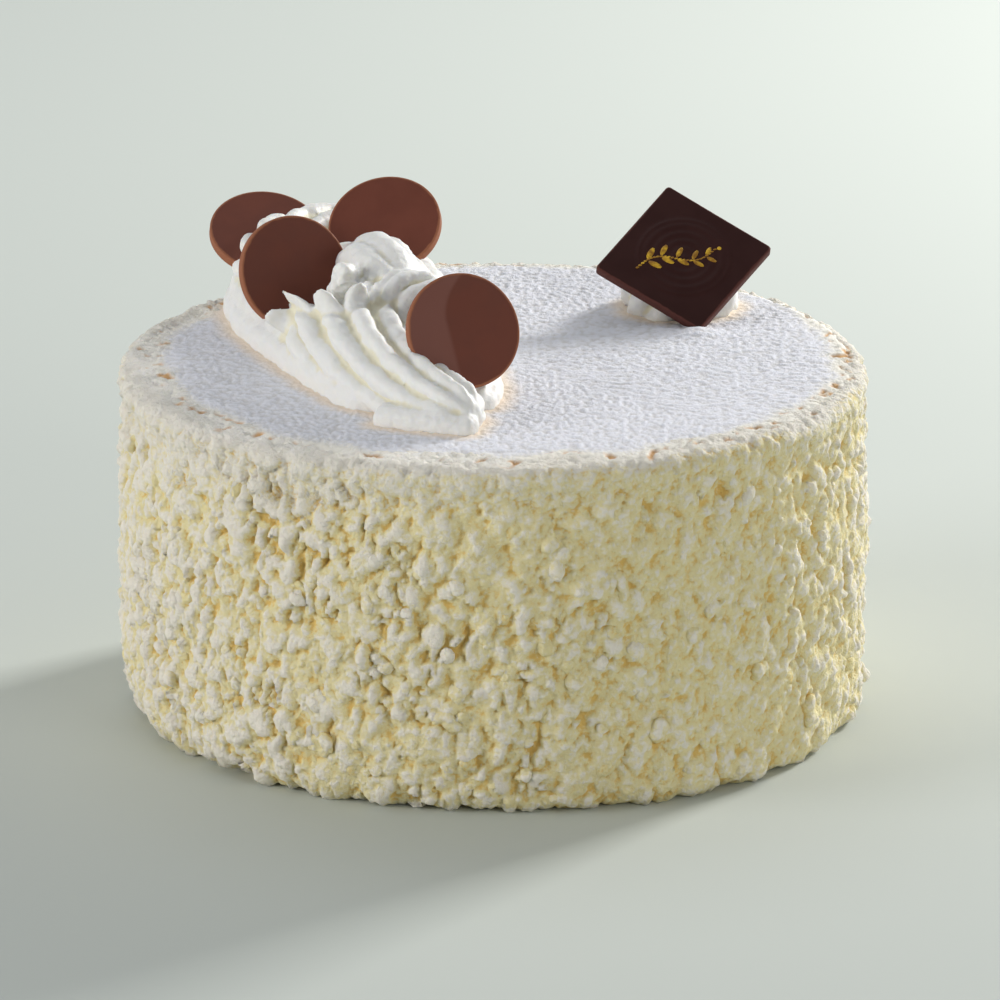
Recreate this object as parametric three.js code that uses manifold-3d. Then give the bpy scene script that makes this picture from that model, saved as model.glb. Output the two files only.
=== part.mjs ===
// A whole round meringue cake: a sponge and cream cylinder coated on its side with crushed meringue and dusted on
// top, a wide rope of piped cream with four chocolate discs stuck in it, and a small piped rosette that props up a
// square chocolate plaque. Millimetres, +Z up, the origin at the middle of the cake's foot. The rope lies left of
// the middle along Y, and the discs and the plaque face -Y.
import * as THREE from "three";
import { mergeVertices } from "three/addons/utils/BufferGeometryUtils.js";
import Module from "manifold-3d";

const wasm = await Module();
wasm.setup();

// ---- driving dimensions ----
const CAKE_HEIGHT = 95;
const WALL_RADIUS = 97.2; // the wall under its coat
const WALL_BULGE = 1.2;
const RIM_RADIUS = 99.2;
const RIM_ROUND = 3.5;
const FOOT_ROUND = 4;
const FOOT_FLAT_RADIUS = 90; // the flat that it rests on
const UNDERCUT_DEPTH = 5; // on one side the foot is drawn in
const UNDERCUT_HEIGHT = 20;
const UNDERCUT_ANGLE = (218 * Math.PI) / 180;
const COLUMNS = 128;
const WALL_ROWS = 20;

// The coat is a bed of small lumps, with the largest crumbs lying on it.
const LUMP_COUNT = 430;
const LUMP_RADII = [4.9, 7.4];
const LUMP_RISE = 0.52; // how far a lump stands out, as a share of its radius
const LUMP_TALL = 1.18; // lumps are a little taller than wide
const SMOOTH_BAND = 9; // under the rim the coat is fine and smooth
const CRUMB_COUNT = 60;
const CRUMB_RADII = [3.8, 6.2];
const CRUMB_DEPTH = 0.8; // across the wall, as a share of its radius
const ANGLE_SCATTER = 0.06; // radians
const OUTER_RADIUS = 102.4; // no crumb reaches past this
const COAT_SEED = 23;
const GOLDEN_ANGLE = Math.PI * (3 - Math.sqrt(5));

const GAP = 0.3; // between pieces that touch

const DISC_RADIUS = 15.4;
const DISC_THICKNESS = 2.8;
const DISC_CHAMFER = 0.5;

const PLAQUE_SIDE = 33.2;
const PLAQUE_THICKNESS = 3;
const PLAQUE_CORNER = 1.8;
const PLAQUE_CHAMFER = 0.5;

const RIDGES = 10; // of the star nozzle
const ROSETTE_RADIUS = 17;
const ROSETTE_HEIGHT = 17;
const ROSETTE_PLACE = [50.8, 51];
const ROUND_SIDES = 22; // of a disc and its slot
const ROSETTE_RIDGES = 9;

const degrees = THREE.MathUtils.degToRad;

// ---- solids ----

// A closed geometry as a solid that can be joined and cut.
function solidOf(geometry) {
  const bare = geometry.clone();
  for (const name of Object.keys(bare.attributes))
    if (name !== "position") bare.deleteAttribute(name);
  const merged = mergeVertices(bare, 1e-4);
  return new wasm.Manifold(
    new wasm.Mesh({
      numProp: 3,
      vertProperties: merged.attributes.position.array,
      triVerts: new Uint32Array(merged.index.array),
    }),
  );
}

function geometryOf(solid) {
  const mesh = solid.getMesh();
  const position = new Float32Array(mesh.numVert * 3);
  for (let i = 0; i < mesh.numVert; i++)
    position.set(mesh.vertProperties.subarray(i * mesh.numProp, i * mesh.numProp + 3), i * 3);
  const geometry = new THREE.BufferGeometry();
  geometry.setAttribute("position", new THREE.BufferAttribute(position, 3));
  geometry.setIndex(new THREE.BufferAttribute(new Uint32Array(mesh.triVerts), 1));
  return geometry;
}

// Cutting can leave loose scraps: only the largest body is kept.
function largestBody(solid) {
  return solid.decompose().sort((a, b) => b.volume() - a.volume())[0];
}

const join = (solids) => solids.reduce((whole, solid) => whole.add(solid));

// A closed skin over a stack of rings, each an array of the same number of points, with a point at either end.
// The two ways of splitting a four-sided cell take turns, ring by ring.
function skin(first, rings, last) {
  const count = rings[0].length;
  const points = [first, ...rings.flat(), last];
  const at = (ring, i) => 1 + ring * count + (i % count);
  const faces = [];
  for (let i = 0; i < count; i++) {
    faces.push(0, at(0, i + 1), at(0, i));
    for (let ring = 0; ring + 1 < rings.length; ring++) {
      const [a, b, c, d] = [at(ring, i), at(ring, i + 1), at(ring + 1, i + 1), at(ring + 1, i)];
      faces.push(...(ring % 2 ? [a, b, c, a, c, d] : [a, b, d, b, c, d]));
    }
    faces.push(points.length - 1, at(rings.length - 1, i), at(rings.length - 1, i + 1));
  }
  const geometry = new THREE.BufferGeometry().setFromPoints(points);
  geometry.setIndex(faces);
  return geometry;
}

// ---- the cake and its coat ----

// The same draws on every run: a linear congruential generator.
function seededRandom(seed) {
  let state = seed >>> 0;
  return () => {
    state = (Math.imul(state, 1664525) + 1013904223) >>> 0;
    return state / 4294967296;
  };
}

const between = ([low, high], share) => low + (high - low) * share;

function undercut(angle, z) {
  const facing = Math.max(0, Math.cos(angle - UNDERCUT_ANGLE));
  const low = Math.max(0, 1 - z / UNDERCUT_HEIGHT);
  return UNDERCUT_DEPTH * facing * low * low;
}

// Points spread evenly over the wall: each is a golden angle round from the last, and a little higher.
function spread(count, random, low, high) {
  return Array.from({ length: count }, (_, i) => ({
    angle: i * GOLDEN_ANGLE + ANGLE_SCATTER * (random() - 0.5),
    z: low + ((high - low) * (i + random())) / count,
    size: random(),
  }));
}

function lumpyCoat(random) {
  const lumps = spread(LUMP_COUNT, random, 1, CAKE_HEIGHT - SMOOTH_BAND).map(({ angle, z, size }) => ({
    x: WALL_RADIUS * Math.cos(angle),
    y: WALL_RADIUS * Math.sin(angle),
    z,
    radius: between(LUMP_RADII, size * size),
  }));
  return (angle, z) => {
    const [x, y] = [WALL_RADIUS * Math.cos(angle), WALL_RADIUS * Math.sin(angle)];
    let rise = 0;
    for (const lump of lumps) {
      const away = Math.hypot(x - lump.x, y - lump.y, (z - lump.z) / LUMP_TALL) / lump.radius;
      if (away < 1) rise = Math.max(rise, lump.radius * LUMP_RISE * Math.sqrt(1 - away * away));
    }
    return rise;
  };
}

// The outline from the foot to the rim: radius and height pairs, and whether the coat covers them.
function cakeProfile() {
  const wallTop = CAKE_HEIGHT - RIM_ROUND;
  const quarter = Math.PI / 2;
  const rows = [{ radius: FOOT_FLAT_RADIUS, z: 0, coated: false }];
  for (const turn of [0.35 * quarter, 0.75 * quarter]) {
    const reach = WALL_RADIUS - FOOT_FLAT_RADIUS;
    rows.push({
      radius: FOOT_FLAT_RADIUS + reach * Math.sin(turn),
      z: FOOT_ROUND * (1 - Math.cos(turn)),
      coated: true,
    });
  }
  for (let share = 0; share < 1; share += 1 / WALL_ROWS) {
    const radius = WALL_RADIUS + WALL_BULGE * Math.sin(Math.PI * share);
    rows.push({ radius, z: between([FOOT_ROUND, wallTop], share), coated: true });
  }
  for (const turn of [0, 0.4 * quarter, 0.75 * quarter, quarter]) {
    const radius = RIM_RADIUS - RIM_ROUND * (1 - Math.cos(turn));
    rows.push({ radius, z: wallTop + RIM_ROUND * Math.sin(turn), coated: false });
  }
  return rows;
}

function cakeCore(random) {
  const coat = lumpyCoat(random);
  const rings = cakeProfile().map(({ radius, z, coated }, row) =>
    Array.from({ length: COLUMNS }, (_, i) => {
      const angle = (2 * Math.PI * (i + (row % 2) / 2)) / COLUMNS;
      const reach = radius + (coated ? coat(angle, z) : 0) - undercut(angle, z);
      return new THREE.Vector3(reach * Math.cos(angle), reach * Math.sin(angle), z);
    }),
  );
  return solidOf(skin(new THREE.Vector3(0, 0, 0), rings, new THREE.Vector3(0, 0, CAKE_HEIGHT)));
}

// One large crumb of crushed meringue: an uneven lump, flatter across the wall than along it.
function crumb(random, { angle, z, size }) {
  const radius = between(CRUMB_RADII, size);
  const depth = radius * CRUMB_DEPTH;
  const geometry = new THREE.IcosahedronGeometry(1, 0);
  geometry.rotateX(random() * 3).rotateY(random() * 3);
  geometry.scale(depth, radius * (0.8 + 0.3 * random()), radius * (0.9 + 0.35 * random()));
  geometry.translate(OUTER_RADIUS - depth - undercut(angle, z), 0, z).rotateZ(angle);
  return solidOf(geometry);
}

function cakeBody() {
  const random = seededRandom(COAT_SEED);
  const core = cakeCore(random);
  const places = spread(CRUMB_COUNT, random, CRUMB_RADII[1] * 1.3, CAKE_HEIGHT - SMOOTH_BAND - CRUMB_RADII[1]);
  return largestBody(core.add(join(places.map((place) => crumb(random, place)))));
}

// ---- chocolate ----

// Each disc: its middle, how far its face turns from -Y towards +X, and how far it leans back from upright.
const DISCS = {
  disc_back_left: { at: [-61.7, 64, 112.7], turn: 12, lean: 61 },
  disc_back_right: { at: [-29.2, 52, 118.4], turn: -13.3, lean: 49.7 },
  disc_front_left: { at: [-53.4, 20, 114.3], turn: 24, lean: 22.8 },
  disc_front_right: { at: [-8, -38, 114.9], turn: 19.4, lean: 25 },
};

// The plaque stands on one corner and leans back on the rosette.
const PLAQUE = { at: [51.1, 46, 110.4], turn: 3.9, lean: 51.9, spin: 51.5 };

function chamferedDisc(radius, thickness, chamfer) {
  const half = thickness / 2;
  const profile = [
    [0, -half],
    [radius - chamfer, -half],
    [radius, chamfer - half],
    [radius, half - chamfer],
    [radius - chamfer, half],
    [0, half],
  ].map(([x, y]) => new THREE.Vector2(x, y));
  return new THREE.LatheGeometry(profile, ROUND_SIDES).rotateX(Math.PI / 2);
}

function roundedSquare(side, corner) {
  const half = side / 2;
  const shape = new THREE.Shape();
  shape.moveTo(corner - half, -half);
  shape.lineTo(half - corner, -half);
  shape.absarc(half - corner, corner - half, corner, -Math.PI / 2, 0);
  shape.absarc(half - corner, half - corner, corner, 0, Math.PI / 2);
  shape.absarc(corner - half, half - corner, corner, Math.PI / 2, Math.PI);
  shape.absarc(corner - half, corner - half, corner, Math.PI, 1.5 * Math.PI);
  return shape;
}

function plaqueGeometry(side, thickness, chamfer) {
  const geometry = new THREE.ExtrudeGeometry(roundedSquare(side - 2 * chamfer, PLAQUE_CORNER), {
    depth: thickness - 2 * chamfer,
    bevelThickness: chamfer,
    bevelSize: chamfer,
    bevelSegments: 1,
    curveSegments: 3,
  });
  return geometry.translate(0, 0, chamfer - thickness / 2);
}

// Turns a piece whose face looks along +Z so that it looks along -Y, then leans it back and turns it.
function stand(mesh, { at, turn, lean, spin = 0 }) {
  mesh.rotation.set(degrees(90 - lean), 0, degrees(turn), "ZXY");
  mesh.rotateZ(degrees(spin));
  mesh.position.set(...at);
  mesh.updateMatrix();
  return mesh;
}

// ---- piped cream ----

// Each stroke of the nozzle: points of its middle line as x, y, height over the cake and radius.
const STROKES = {
  left_skirt: {
    line: [
      [-56, 68, 6, 10],
      [-60, 48, 6, 13],
      [-54, 20, 6, 14],
      [-43, -8, 5, 13.5],
      [-32, -33, 4, 12],
      [-18, -57, 2, 11],
    ],
    twist: 0.1,
  },
  right_skirt: {
    line: [
      [-28, 70, 5, 10],
      [-23, 42, 7, 14],
      [-13, 14, 6, 13.5],
      [-7, -12, 4, 12],
      [-5, -34, 2, 10],
      [-6, -52, 2, 8],
    ],
    twist: -0.1,
  },
  back_loop: {
    line: [
      [-22, 66, 9, 9],
      [-38, 72, 11, 12.5],
      [-54, 62, 12, 13],
      [-57, 44, 12, 12.5],
      [-44, 32, 10, 10],
    ],
    twist: 0.3,
  },
  middle_loop: {
    line: [
      [-50, 40, 11, 9],
      [-41, 33, 14, 12.5],
      [-28, 22, 17, 14.5],
      [-17, 7, 12, 12],
      [-14, -8, 7, 8],
    ],
    twist: 0.4,
  },
  front_tail: {
    line: [
      [-54, 16, 8, 9],
      [-45, 3, 12, 13.5],
      [-36, -15, 13, 15],
      [-28, -34, 10, 13],
      [-17, -51, 7, 10.5],
      [-6, -62, 4, 8],
    ],
    twist: 0.45,
  },
};
const STROKE_STEPS = 8;
const GROOVE = 0.2; // how deep the nozzle's grooves are, as a share of the radius

function stroke({ line, twist }) {
  const path = new THREE.CatmullRomCurve3(line.map(([x, y, up]) => new THREE.Vector3(x, y, CAKE_HEIGHT + up)));
  const radii = new THREE.SplineCurve(line.map(([, , , radius], i) => new THREE.Vector2(i, radius)));
  const frames = path.computeFrenetFrames(STROKE_STEPS, false);
  const sides = RIDGES * 2;
  const rings = [];
  for (let step = 0; step <= STROKE_STEPS; step++) {
    const share = step / STROKE_STEPS;
    const middle = path.getPoint(share);
    const radius = radii.getPoint(share).y;
    const ring = [];
    for (let i = 0; i < sides; i++) {
      const angle = 2 * Math.PI * (i / sides + twist * share);
      const reach = radius * (i % 2 ? 1 - GROOVE : 1);
      const side = frames.normals[step].clone().multiplyScalar(reach * Math.cos(angle));
      const other = frames.binormals[step].clone().multiplyScalar(reach * Math.sin(angle));
      ring.push(middle.clone().add(side).add(other));
    }
    rings.push(ring);
  }
  const blunt = 0.45; // how far the rounded ends stand past the last rings, as a share of their radius
  const start = path.getPoint(0).addScaledVector(frames.tangents[0], -blunt * line[0][3]);
  const end = path.getPoint(1).addScaledVector(frames.tangents[STROKE_STEPS], blunt * line.at(-1)[3]);
  return solidOf(skin(start, rings, end));
}

// All that is above a level.
function above(level) {
  const half = 150;
  const block = new THREE.BoxGeometry(2 * half, 2 * half, 2 * half);
  return solidOf(block.translate(0, 0, level + half));
}

function creamRope(discs) {
  const piped = join(Object.values(STROKES).map(stroke)).intersect(above(CAKE_HEIGHT + GAP));
  const slots = discs.map((disc) => {
    const [radius, width] = [DISC_RADIUS + GAP, DISC_THICKNESS + 2 * GAP];
    const slot = new THREE.CylinderGeometry(radius, radius, width, ROUND_SIDES);
    return solidOf(slot.rotateX(Math.PI / 2).applyMatrix4(disc.matrix));
  });
  return largestBody(piped.subtract(join(slots)));
}

function creamRosette(plaque) {
  const [x, y] = ROSETTE_PLACE;
  const levels = [0, 0.15, 0.35, 0.55, 0.75, 0.92];
  const sides = ROSETTE_RIDGES * 2;
  const rings = levels.map((level) =>
    Array.from({ length: sides }, (_, i) => {
      const angle = 2 * Math.PI * (i / sides + 0.16 * level);
      const plump = Math.sqrt(1 - Math.pow(level, 2.4)) * (0.9 + 0.4 * level * (1 - level));
      const reach = ROSETTE_RADIUS * plump * (i % 2 ? 0.84 : 1);
      const height = CAKE_HEIGHT + GAP + ROSETTE_HEIGHT * level;
      return new THREE.Vector3(reach * Math.cos(angle) + x, reach * Math.sin(angle) + y, height);
    }),
  );
  const foot = new THREE.Vector3(x, y, CAKE_HEIGHT + GAP);
  const tip = new THREE.Vector3(x, y, CAKE_HEIGHT + GAP + ROSETTE_HEIGHT);
  // The plaque has pressed the cream down: all in its way, and above it, goes.
  const pressed = new THREE.BoxGeometry(PLAQUE_SIDE + 2 * GAP, PLAQUE_SIDE + 2 * GAP, PLAQUE_SIDE);
  pressed.translate(0, 0, PLAQUE_SIDE / 2 - PLAQUE_THICKNESS / 2 - GAP).applyMatrix4(plaque.matrix);
  return largestBody(solidOf(skin(foot, rings, tip)).subtract(solidOf(pressed)));
}

// ---- the finished cake ----

const coat = new THREE.MeshStandardMaterial({ color: 0xefe6c4, roughness: 0.95, metalness: 0 });
const cream = new THREE.MeshStandardMaterial({ color: 0xf6f3e8, roughness: 0.55, metalness: 0 });
const milkChocolate = new THREE.MeshStandardMaterial({ color: 0x5e3222, roughness: 0.45, metalness: 0 });
const darkChocolate = new THREE.MeshStandardMaterial({ color: 0x24120e, roughness: 0.35, metalness: 0 });

function named(name, geometry, material) {
  const mesh = new THREE.Mesh(geometry, material);
  mesh.name = name;
  return mesh;
}

const discs = Object.entries(DISCS).map(([name, place]) =>
  stand(named(name, chamferedDisc(DISC_RADIUS, DISC_THICKNESS, DISC_CHAMFER), milkChocolate), place),
);
const plaque = stand(
  named("plaque", plaqueGeometry(PLAQUE_SIDE, PLAQUE_THICKNESS, PLAQUE_CHAMFER), darkChocolate),
  PLAQUE,
);

const cake = new THREE.Group();
cake.add(named("cake_body", geometryOf(cakeBody()), coat));
cake.add(named("cream_rope", geometryOf(creamRope(discs)), cream));
cake.add(named("cream_rosette", geometryOf(creamRosette(plaque)), cream));
cake.add(...discs, plaque);

export default cake;
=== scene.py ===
"""A whole meringue cake: a coat of crushed meringue, a dusted top, piped cream, chocolate discs and a plaque.

Sizes are in millimetres in the classes' fields and in metres in every mesh. The cake stands on its foot at
the origin, +Z is up, and the discs and the plaque face -Y.
"""

from __future__ import annotations

import logging
import math
from dataclasses import dataclass, field, replace
from enum import Enum
from typing import Callable, Iterable, Sequence

import bmesh
import bpy
import numpy as np
from mathutils import Matrix, Vector, kdtree, noise

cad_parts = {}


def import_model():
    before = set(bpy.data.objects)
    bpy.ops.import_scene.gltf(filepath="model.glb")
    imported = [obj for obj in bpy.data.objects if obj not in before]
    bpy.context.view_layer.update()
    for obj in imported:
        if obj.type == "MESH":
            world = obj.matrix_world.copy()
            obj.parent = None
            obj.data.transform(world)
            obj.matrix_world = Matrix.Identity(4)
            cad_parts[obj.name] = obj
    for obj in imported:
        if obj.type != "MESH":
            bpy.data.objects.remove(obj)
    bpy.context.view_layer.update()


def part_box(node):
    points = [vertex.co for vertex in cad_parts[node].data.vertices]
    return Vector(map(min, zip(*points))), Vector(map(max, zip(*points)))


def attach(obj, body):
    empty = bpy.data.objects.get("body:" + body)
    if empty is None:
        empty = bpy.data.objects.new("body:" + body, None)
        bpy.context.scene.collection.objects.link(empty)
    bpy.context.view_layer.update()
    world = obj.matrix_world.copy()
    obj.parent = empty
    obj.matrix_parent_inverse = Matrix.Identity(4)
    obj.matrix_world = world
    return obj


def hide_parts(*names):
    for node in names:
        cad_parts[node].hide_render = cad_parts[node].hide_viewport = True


LOG = logging.getLogger("meringue_cake")
MM = 0.001
TURN = 2.0 * math.pi
NOISE_SEED = 11
Colour = tuple[float, float, float]
Pair = tuple[float, float]


def srgb(red: float, green: float, blue: float) -> Colour:
    """Turns a colour as read off a screen, 0 to 255, into a linear one.

    Args:
        red: the red reading.
        green: the green reading.
        blue: the blue reading.

    Returns:
        The linear colour.
    """
    return tuple(
        value / 12.92 if value <= 0.04045 else ((value + 0.055) / 1.055) ** 2.4
        for value in (red / 255, green / 255, blue / 255)
    )


def rising(value: np.ndarray, start: float, full: float) -> np.ndarray:
    """Gives 0 at start, 1 at full and a straight line between them; full may be the lower of the two."""
    return np.clip((value - start) / (full - start), 0.0, 1.0)


def eased(share: float | np.ndarray) -> float | np.ndarray:
    """Rounds off both ends of a rise from 0 to 1."""
    return share * share * (3.0 - 2.0 * share)


def facing(angle: np.ndarray, toward: float) -> np.ndarray:
    """Gives 1 where an angle looks the way of another, and 0 from a quarter turn away on."""
    return np.clip(np.cos(angle - toward), 0.0, 1.0)


# ---------------------------------------------------------------- meshes


def add_object(name: str, data: bpy.types.ID) -> bpy.types.Object:
    """Makes an object of a mesh, a light or a camera, and links it to the scene."""
    made = bpy.data.objects.new(name, data)
    bpy.context.scene.collection.objects.link(made)
    return made


def mesh_object(name: str, points: np.ndarray, faces: Iterable[Sequence[int]]) -> bpy.types.Object:
    """Makes a smooth-shaded object of points in metres, with its place in its mesh.

    Args:
        name: the piece's name.
        points: its points, one row each.
        faces: its faces, as indices of points.

    Returns:
        The new object, linked to the scene.
    """
    mesh = bpy.data.meshes.new(name)
    mesh.from_pydata(np.asarray(points, dtype=float).tolist(), [], [list(face) for face in faces])
    mesh.validate()
    mesh.shade_smooth()
    return add_object(name, mesh)


def object_from(name: str, work: bmesh.types.BMesh) -> bpy.types.Object:
    """Makes a smooth-shaded object of a mesh in the making, which it frees."""
    mesh = bpy.data.meshes.new(name)
    work.to_mesh(mesh)
    work.free()
    mesh.shade_smooth()
    return add_object(name, mesh)


def skin_faces(rings: int, sides: int) -> list[tuple[int, ...]]:
    """Lists the faces of a closed skin: a first point, rings of equal count, and a last point.

    Args:
        rings: how many rings there are.
        sides: how many points each ring has.

    Returns:
        Faces that point outwards where the rings turn anticlockwise about the way from first to last.
    """
    last = 1 + rings * sides
    faces: list[tuple[int, ...]] = []
    for i in range(sides):
        after = (i + 1) % sides
        faces.append((0, 1 + after, 1 + i))
        faces.append((last, last - sides + i, last - sides + after))
        for ring in range(rings - 1):
            low, high = 1 + ring * sides, 1 + (ring + 1) * sides
            faces.append((low + i, low + after, high + after, high + i))
    return faces


def points_of(mesh: bpy.types.Mesh, what: str = "co") -> np.ndarray:
    """Reads a mesh's points, or another vector that each point has, as an array with a row for each."""
    flat = np.empty(len(mesh.vertices) * 3, dtype=np.float32)
    mesh.vertices.foreach_get(what, flat)
    return flat.reshape(-1, 3).astype(float)


def normals_of(mesh: bpy.types.Mesh) -> np.ndarray:
    """Reads a mesh's point normals as an array with a row for each."""
    return points_of(mesh, "normal")


def move_points(mesh: bpy.types.Mesh, points: np.ndarray) -> None:
    """Writes a mesh's points back."""
    mesh.vertices.foreach_set("co", np.ascontiguousarray(points, dtype=np.float32).ravel())
    mesh.update()


def store(mesh: bpy.types.Mesh, name: str, values: np.ndarray) -> None:
    """Stores a number for each point of a mesh, for a material to read."""
    layer = mesh.attributes.get(name) or mesh.attributes.new(name, "FLOAT", "POINT")
    layer.data.foreach_set("value", np.ascontiguousarray(values, dtype=np.float32))


def smoothed(mesh: bpy.types.Mesh, points: np.ndarray, rounds: int) -> np.ndarray:
    """Moves each point to the mean of its neighbours, again and again.

    Args:
        mesh: the mesh whose edges say who neighbours whom.
        points: the points to smooth.
        rounds: how many times.

    Returns:
        The smoothed points.
    """
    pairs = np.empty(len(mesh.edges) * 2, dtype=np.int32)
    mesh.edges.foreach_get("vertices", pairs)
    one, two = pairs.reshape(-1, 2).T
    count = np.bincount(one, minlength=len(points)) + np.bincount(two, minlength=len(points))
    result = points
    for _ in range(rounds):
        total = [
            np.bincount(one, column[two], len(points)) + np.bincount(two, column[one], len(points))
            for column in result.T
        ]
        result = np.stack(total, axis=1) / np.maximum(count, 1)[:, None]
    return result


class Relief(Enum):
    """The kinds of unevenness that a surface can have."""

    WAVES = "waves"
    GRAINS = "grains"


@dataclass(frozen=True)
class Layer:
    """One layer of unevenness: its kind, the size of one bump and how far it reaches, in millimetres."""

    kind: Relief
    size: float
    depth: float

    def heights(self, points: np.ndarray) -> np.ndarray:
        """Works out the layer's height at each point, in metres.

        Args:
            points: places in metres.

        Returns:
            A height for each place, about as often below zero as above it.
        """
        scale = 1.0 / (self.size * MM)
        if self.kind is Relief.WAVES:
            raw = [noise.noise(Vector(point) * scale) for point in points]
            return np.array(raw) * self.depth * MM
        raw = [noise.voronoi(Vector(point) * scale)[0][0] for point in points]
        return (0.45 - np.array(raw)) * 2.0 * self.depth * MM


def relief(points: np.ndarray, layers: Iterable[Layer]) -> np.ndarray:
    """Adds up the heights of several layers at each point, in metres."""
    total = np.zeros(len(points))
    for layer in layers:
        total += layer.heights(points)
    return total


def remesh(piece: bpy.types.Object, voxel: float) -> None:
    """Fuses a piece's overlapping bodies into one even skin.

    Args:
        piece: the object, which is changed.
        voxel: the size of a voxel, in metres.
    """
    fuse = piece.modifiers.new("fuse", "REMESH")
    fuse.mode = "VOXEL"
    fuse.voxel_size = voxel
    fuse.use_smooth_shade = True
    bake_modifiers(piece)


def bake_modifiers(piece: bpy.types.Object) -> None:
    """Turns the result of a piece's modifiers into its own plain mesh and removes them."""
    depsgraph = bpy.context.evaluated_depsgraph_get()
    result = bpy.data.meshes.new_from_object(piece.evaluated_get(depsgraph), depsgraph=depsgraph)
    old = piece.data
    piece.modifiers.clear()
    piece.data = result
    result.name = piece.name
    bpy.data.meshes.remove(old)


def cut_below(piece: bpy.types.Object, point: Vector, normal: Vector) -> None:
    """Cuts away what lies behind a plane and closes the cut.

    Args:
        piece: the object, which is changed.
        point: a point of the plane, in metres.
        normal: the plane's normal, which points to what stays.
    """
    work = bmesh.new()
    work.from_mesh(piece.data)
    parts = work.verts[:] + work.edges[:] + work.faces[:]
    bmesh.ops.bisect_plane(work, geom=parts, plane_co=point, plane_no=normal, clear_inner=True)
    rim = [edge for edge in work.edges if edge.is_boundary]
    bmesh.ops.holes_fill(work, edges=rim, sides=0)
    bmesh.ops.triangulate(work, faces=[face for face in work.faces if len(face.verts) > 4])
    work.to_mesh(piece.data)
    work.free()


# ---------------------------------------------------------------- node trees


class Tree:
    """A short way to build a node tree: makes nodes, sets their inputs and links them."""

    def __init__(self, tree: bpy.types.NodeTree) -> None:
        """Keeps the tree that the nodes are made in."""
        self.tree = tree

    def node(self, kind: str, settings: dict | None = None, **inputs: object) -> bpy.types.Node:
        """Makes a node.

        Args:
            kind: the node's type name.
            settings: properties of the node itself.
            **inputs: input values or output sockets, by input name with _ for a space.

        Returns:
            The new node.
        """
        made = self.tree.nodes.new(kind)
        for name, value in (settings or {}).items():
            setattr(made, name, value)
        for name, value in inputs.items():
            self.feed(made, name.replace("_", " "), value)
        return made

    def feed(self, node: bpy.types.Node, name: str | int, value: object) -> None:
        """Sets an input to a value, or links an output socket to it."""
        target = node.inputs[name] if isinstance(name, int) else shown(node.inputs, name)
        if isinstance(value, bpy.types.NodeSocket):
            self.tree.links.new(value, target)
        else:
            target.default_value = value

    def math(self, operation: str, *values: object) -> bpy.types.NodeSocket:
        """Makes a Math node and returns its result."""
        made = self.tree.nodes.new("ShaderNodeMath")
        made.operation = operation
        for index, value in enumerate(values):
            self.feed(made, index, value)
        return made.outputs[0]

    def ramp(self, value: bpy.types.NodeSocket, low: float, high: float) -> bpy.types.NodeSocket:
        """Maps a value smoothly onto 0 at low and 1 at high."""
        made = self.node("ShaderNodeMapRange", {"interpolation_type": "SMOOTHSTEP"}, Value=value)
        self.feed(made, "From Min", low)
        self.feed(made, "From Max", high)
        return shown(made.outputs, "Result")

    def mix(self, share: object, one: object, two: object, blend: str = "MIX") -> bpy.types.NodeSocket:
        """Mixes two colours and returns the result."""
        made = self.tree.nodes.new("ShaderNodeMix")
        made.data_type = "RGBA"
        made.blend_type = blend
        self.feed(made, "Factor", share)
        self.feed(made, "A", with_alpha(one))
        self.feed(made, "B", with_alpha(two))
        return shown(made.outputs, "Result")

    def attribute(self, name: str) -> bpy.types.NodeSocket:
        """Reads a number that the mesh stores for each point."""
        return self.node("ShaderNodeAttribute", {"attribute_name": name}).outputs["Fac"]


def shown(sockets: bpy.types.bpy_prop_collection, name: str) -> bpy.types.NodeSocket:
    """Finds the socket of a name that the node uses in its present setting."""
    return next(item for item in sockets if item.name == name and item.enabled and not item.is_unavailable)


def with_alpha(value: object) -> object:
    """Adds an alpha of one to a plain colour, and leaves a socket as it is."""
    return (*value, 1.0) if isinstance(value, tuple) and len(value) == 3 else value


def shader_group(name: str, inputs: dict[str, float], outputs: dict[str, str]) -> tuple[Tree, object, object]:
    """Starts a shader node group.

    Args:
        name: the group's name.
        inputs: its number inputs and their defaults, after a Vector input that every group has.
        outputs: its outputs and their socket types.

    Returns:
        The tree, its input node and its output node.
    """
    group = bpy.data.node_groups.new(name, "ShaderNodeTree")
    group.interface.new_socket("Vector", in_out="INPUT", socket_type="NodeSocketVector")
    for title, value in inputs.items():
        socket = group.interface.new_socket(title, in_out="INPUT", socket_type="NodeSocketFloat")
        socket.default_value = value
    for title, kind in outputs.items():
        group.interface.new_socket(title, in_out="OUTPUT", socket_type=kind)
    return Tree(group), group.nodes.new("NodeGroupInput"), group.nodes.new("NodeGroupOutput")


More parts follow.
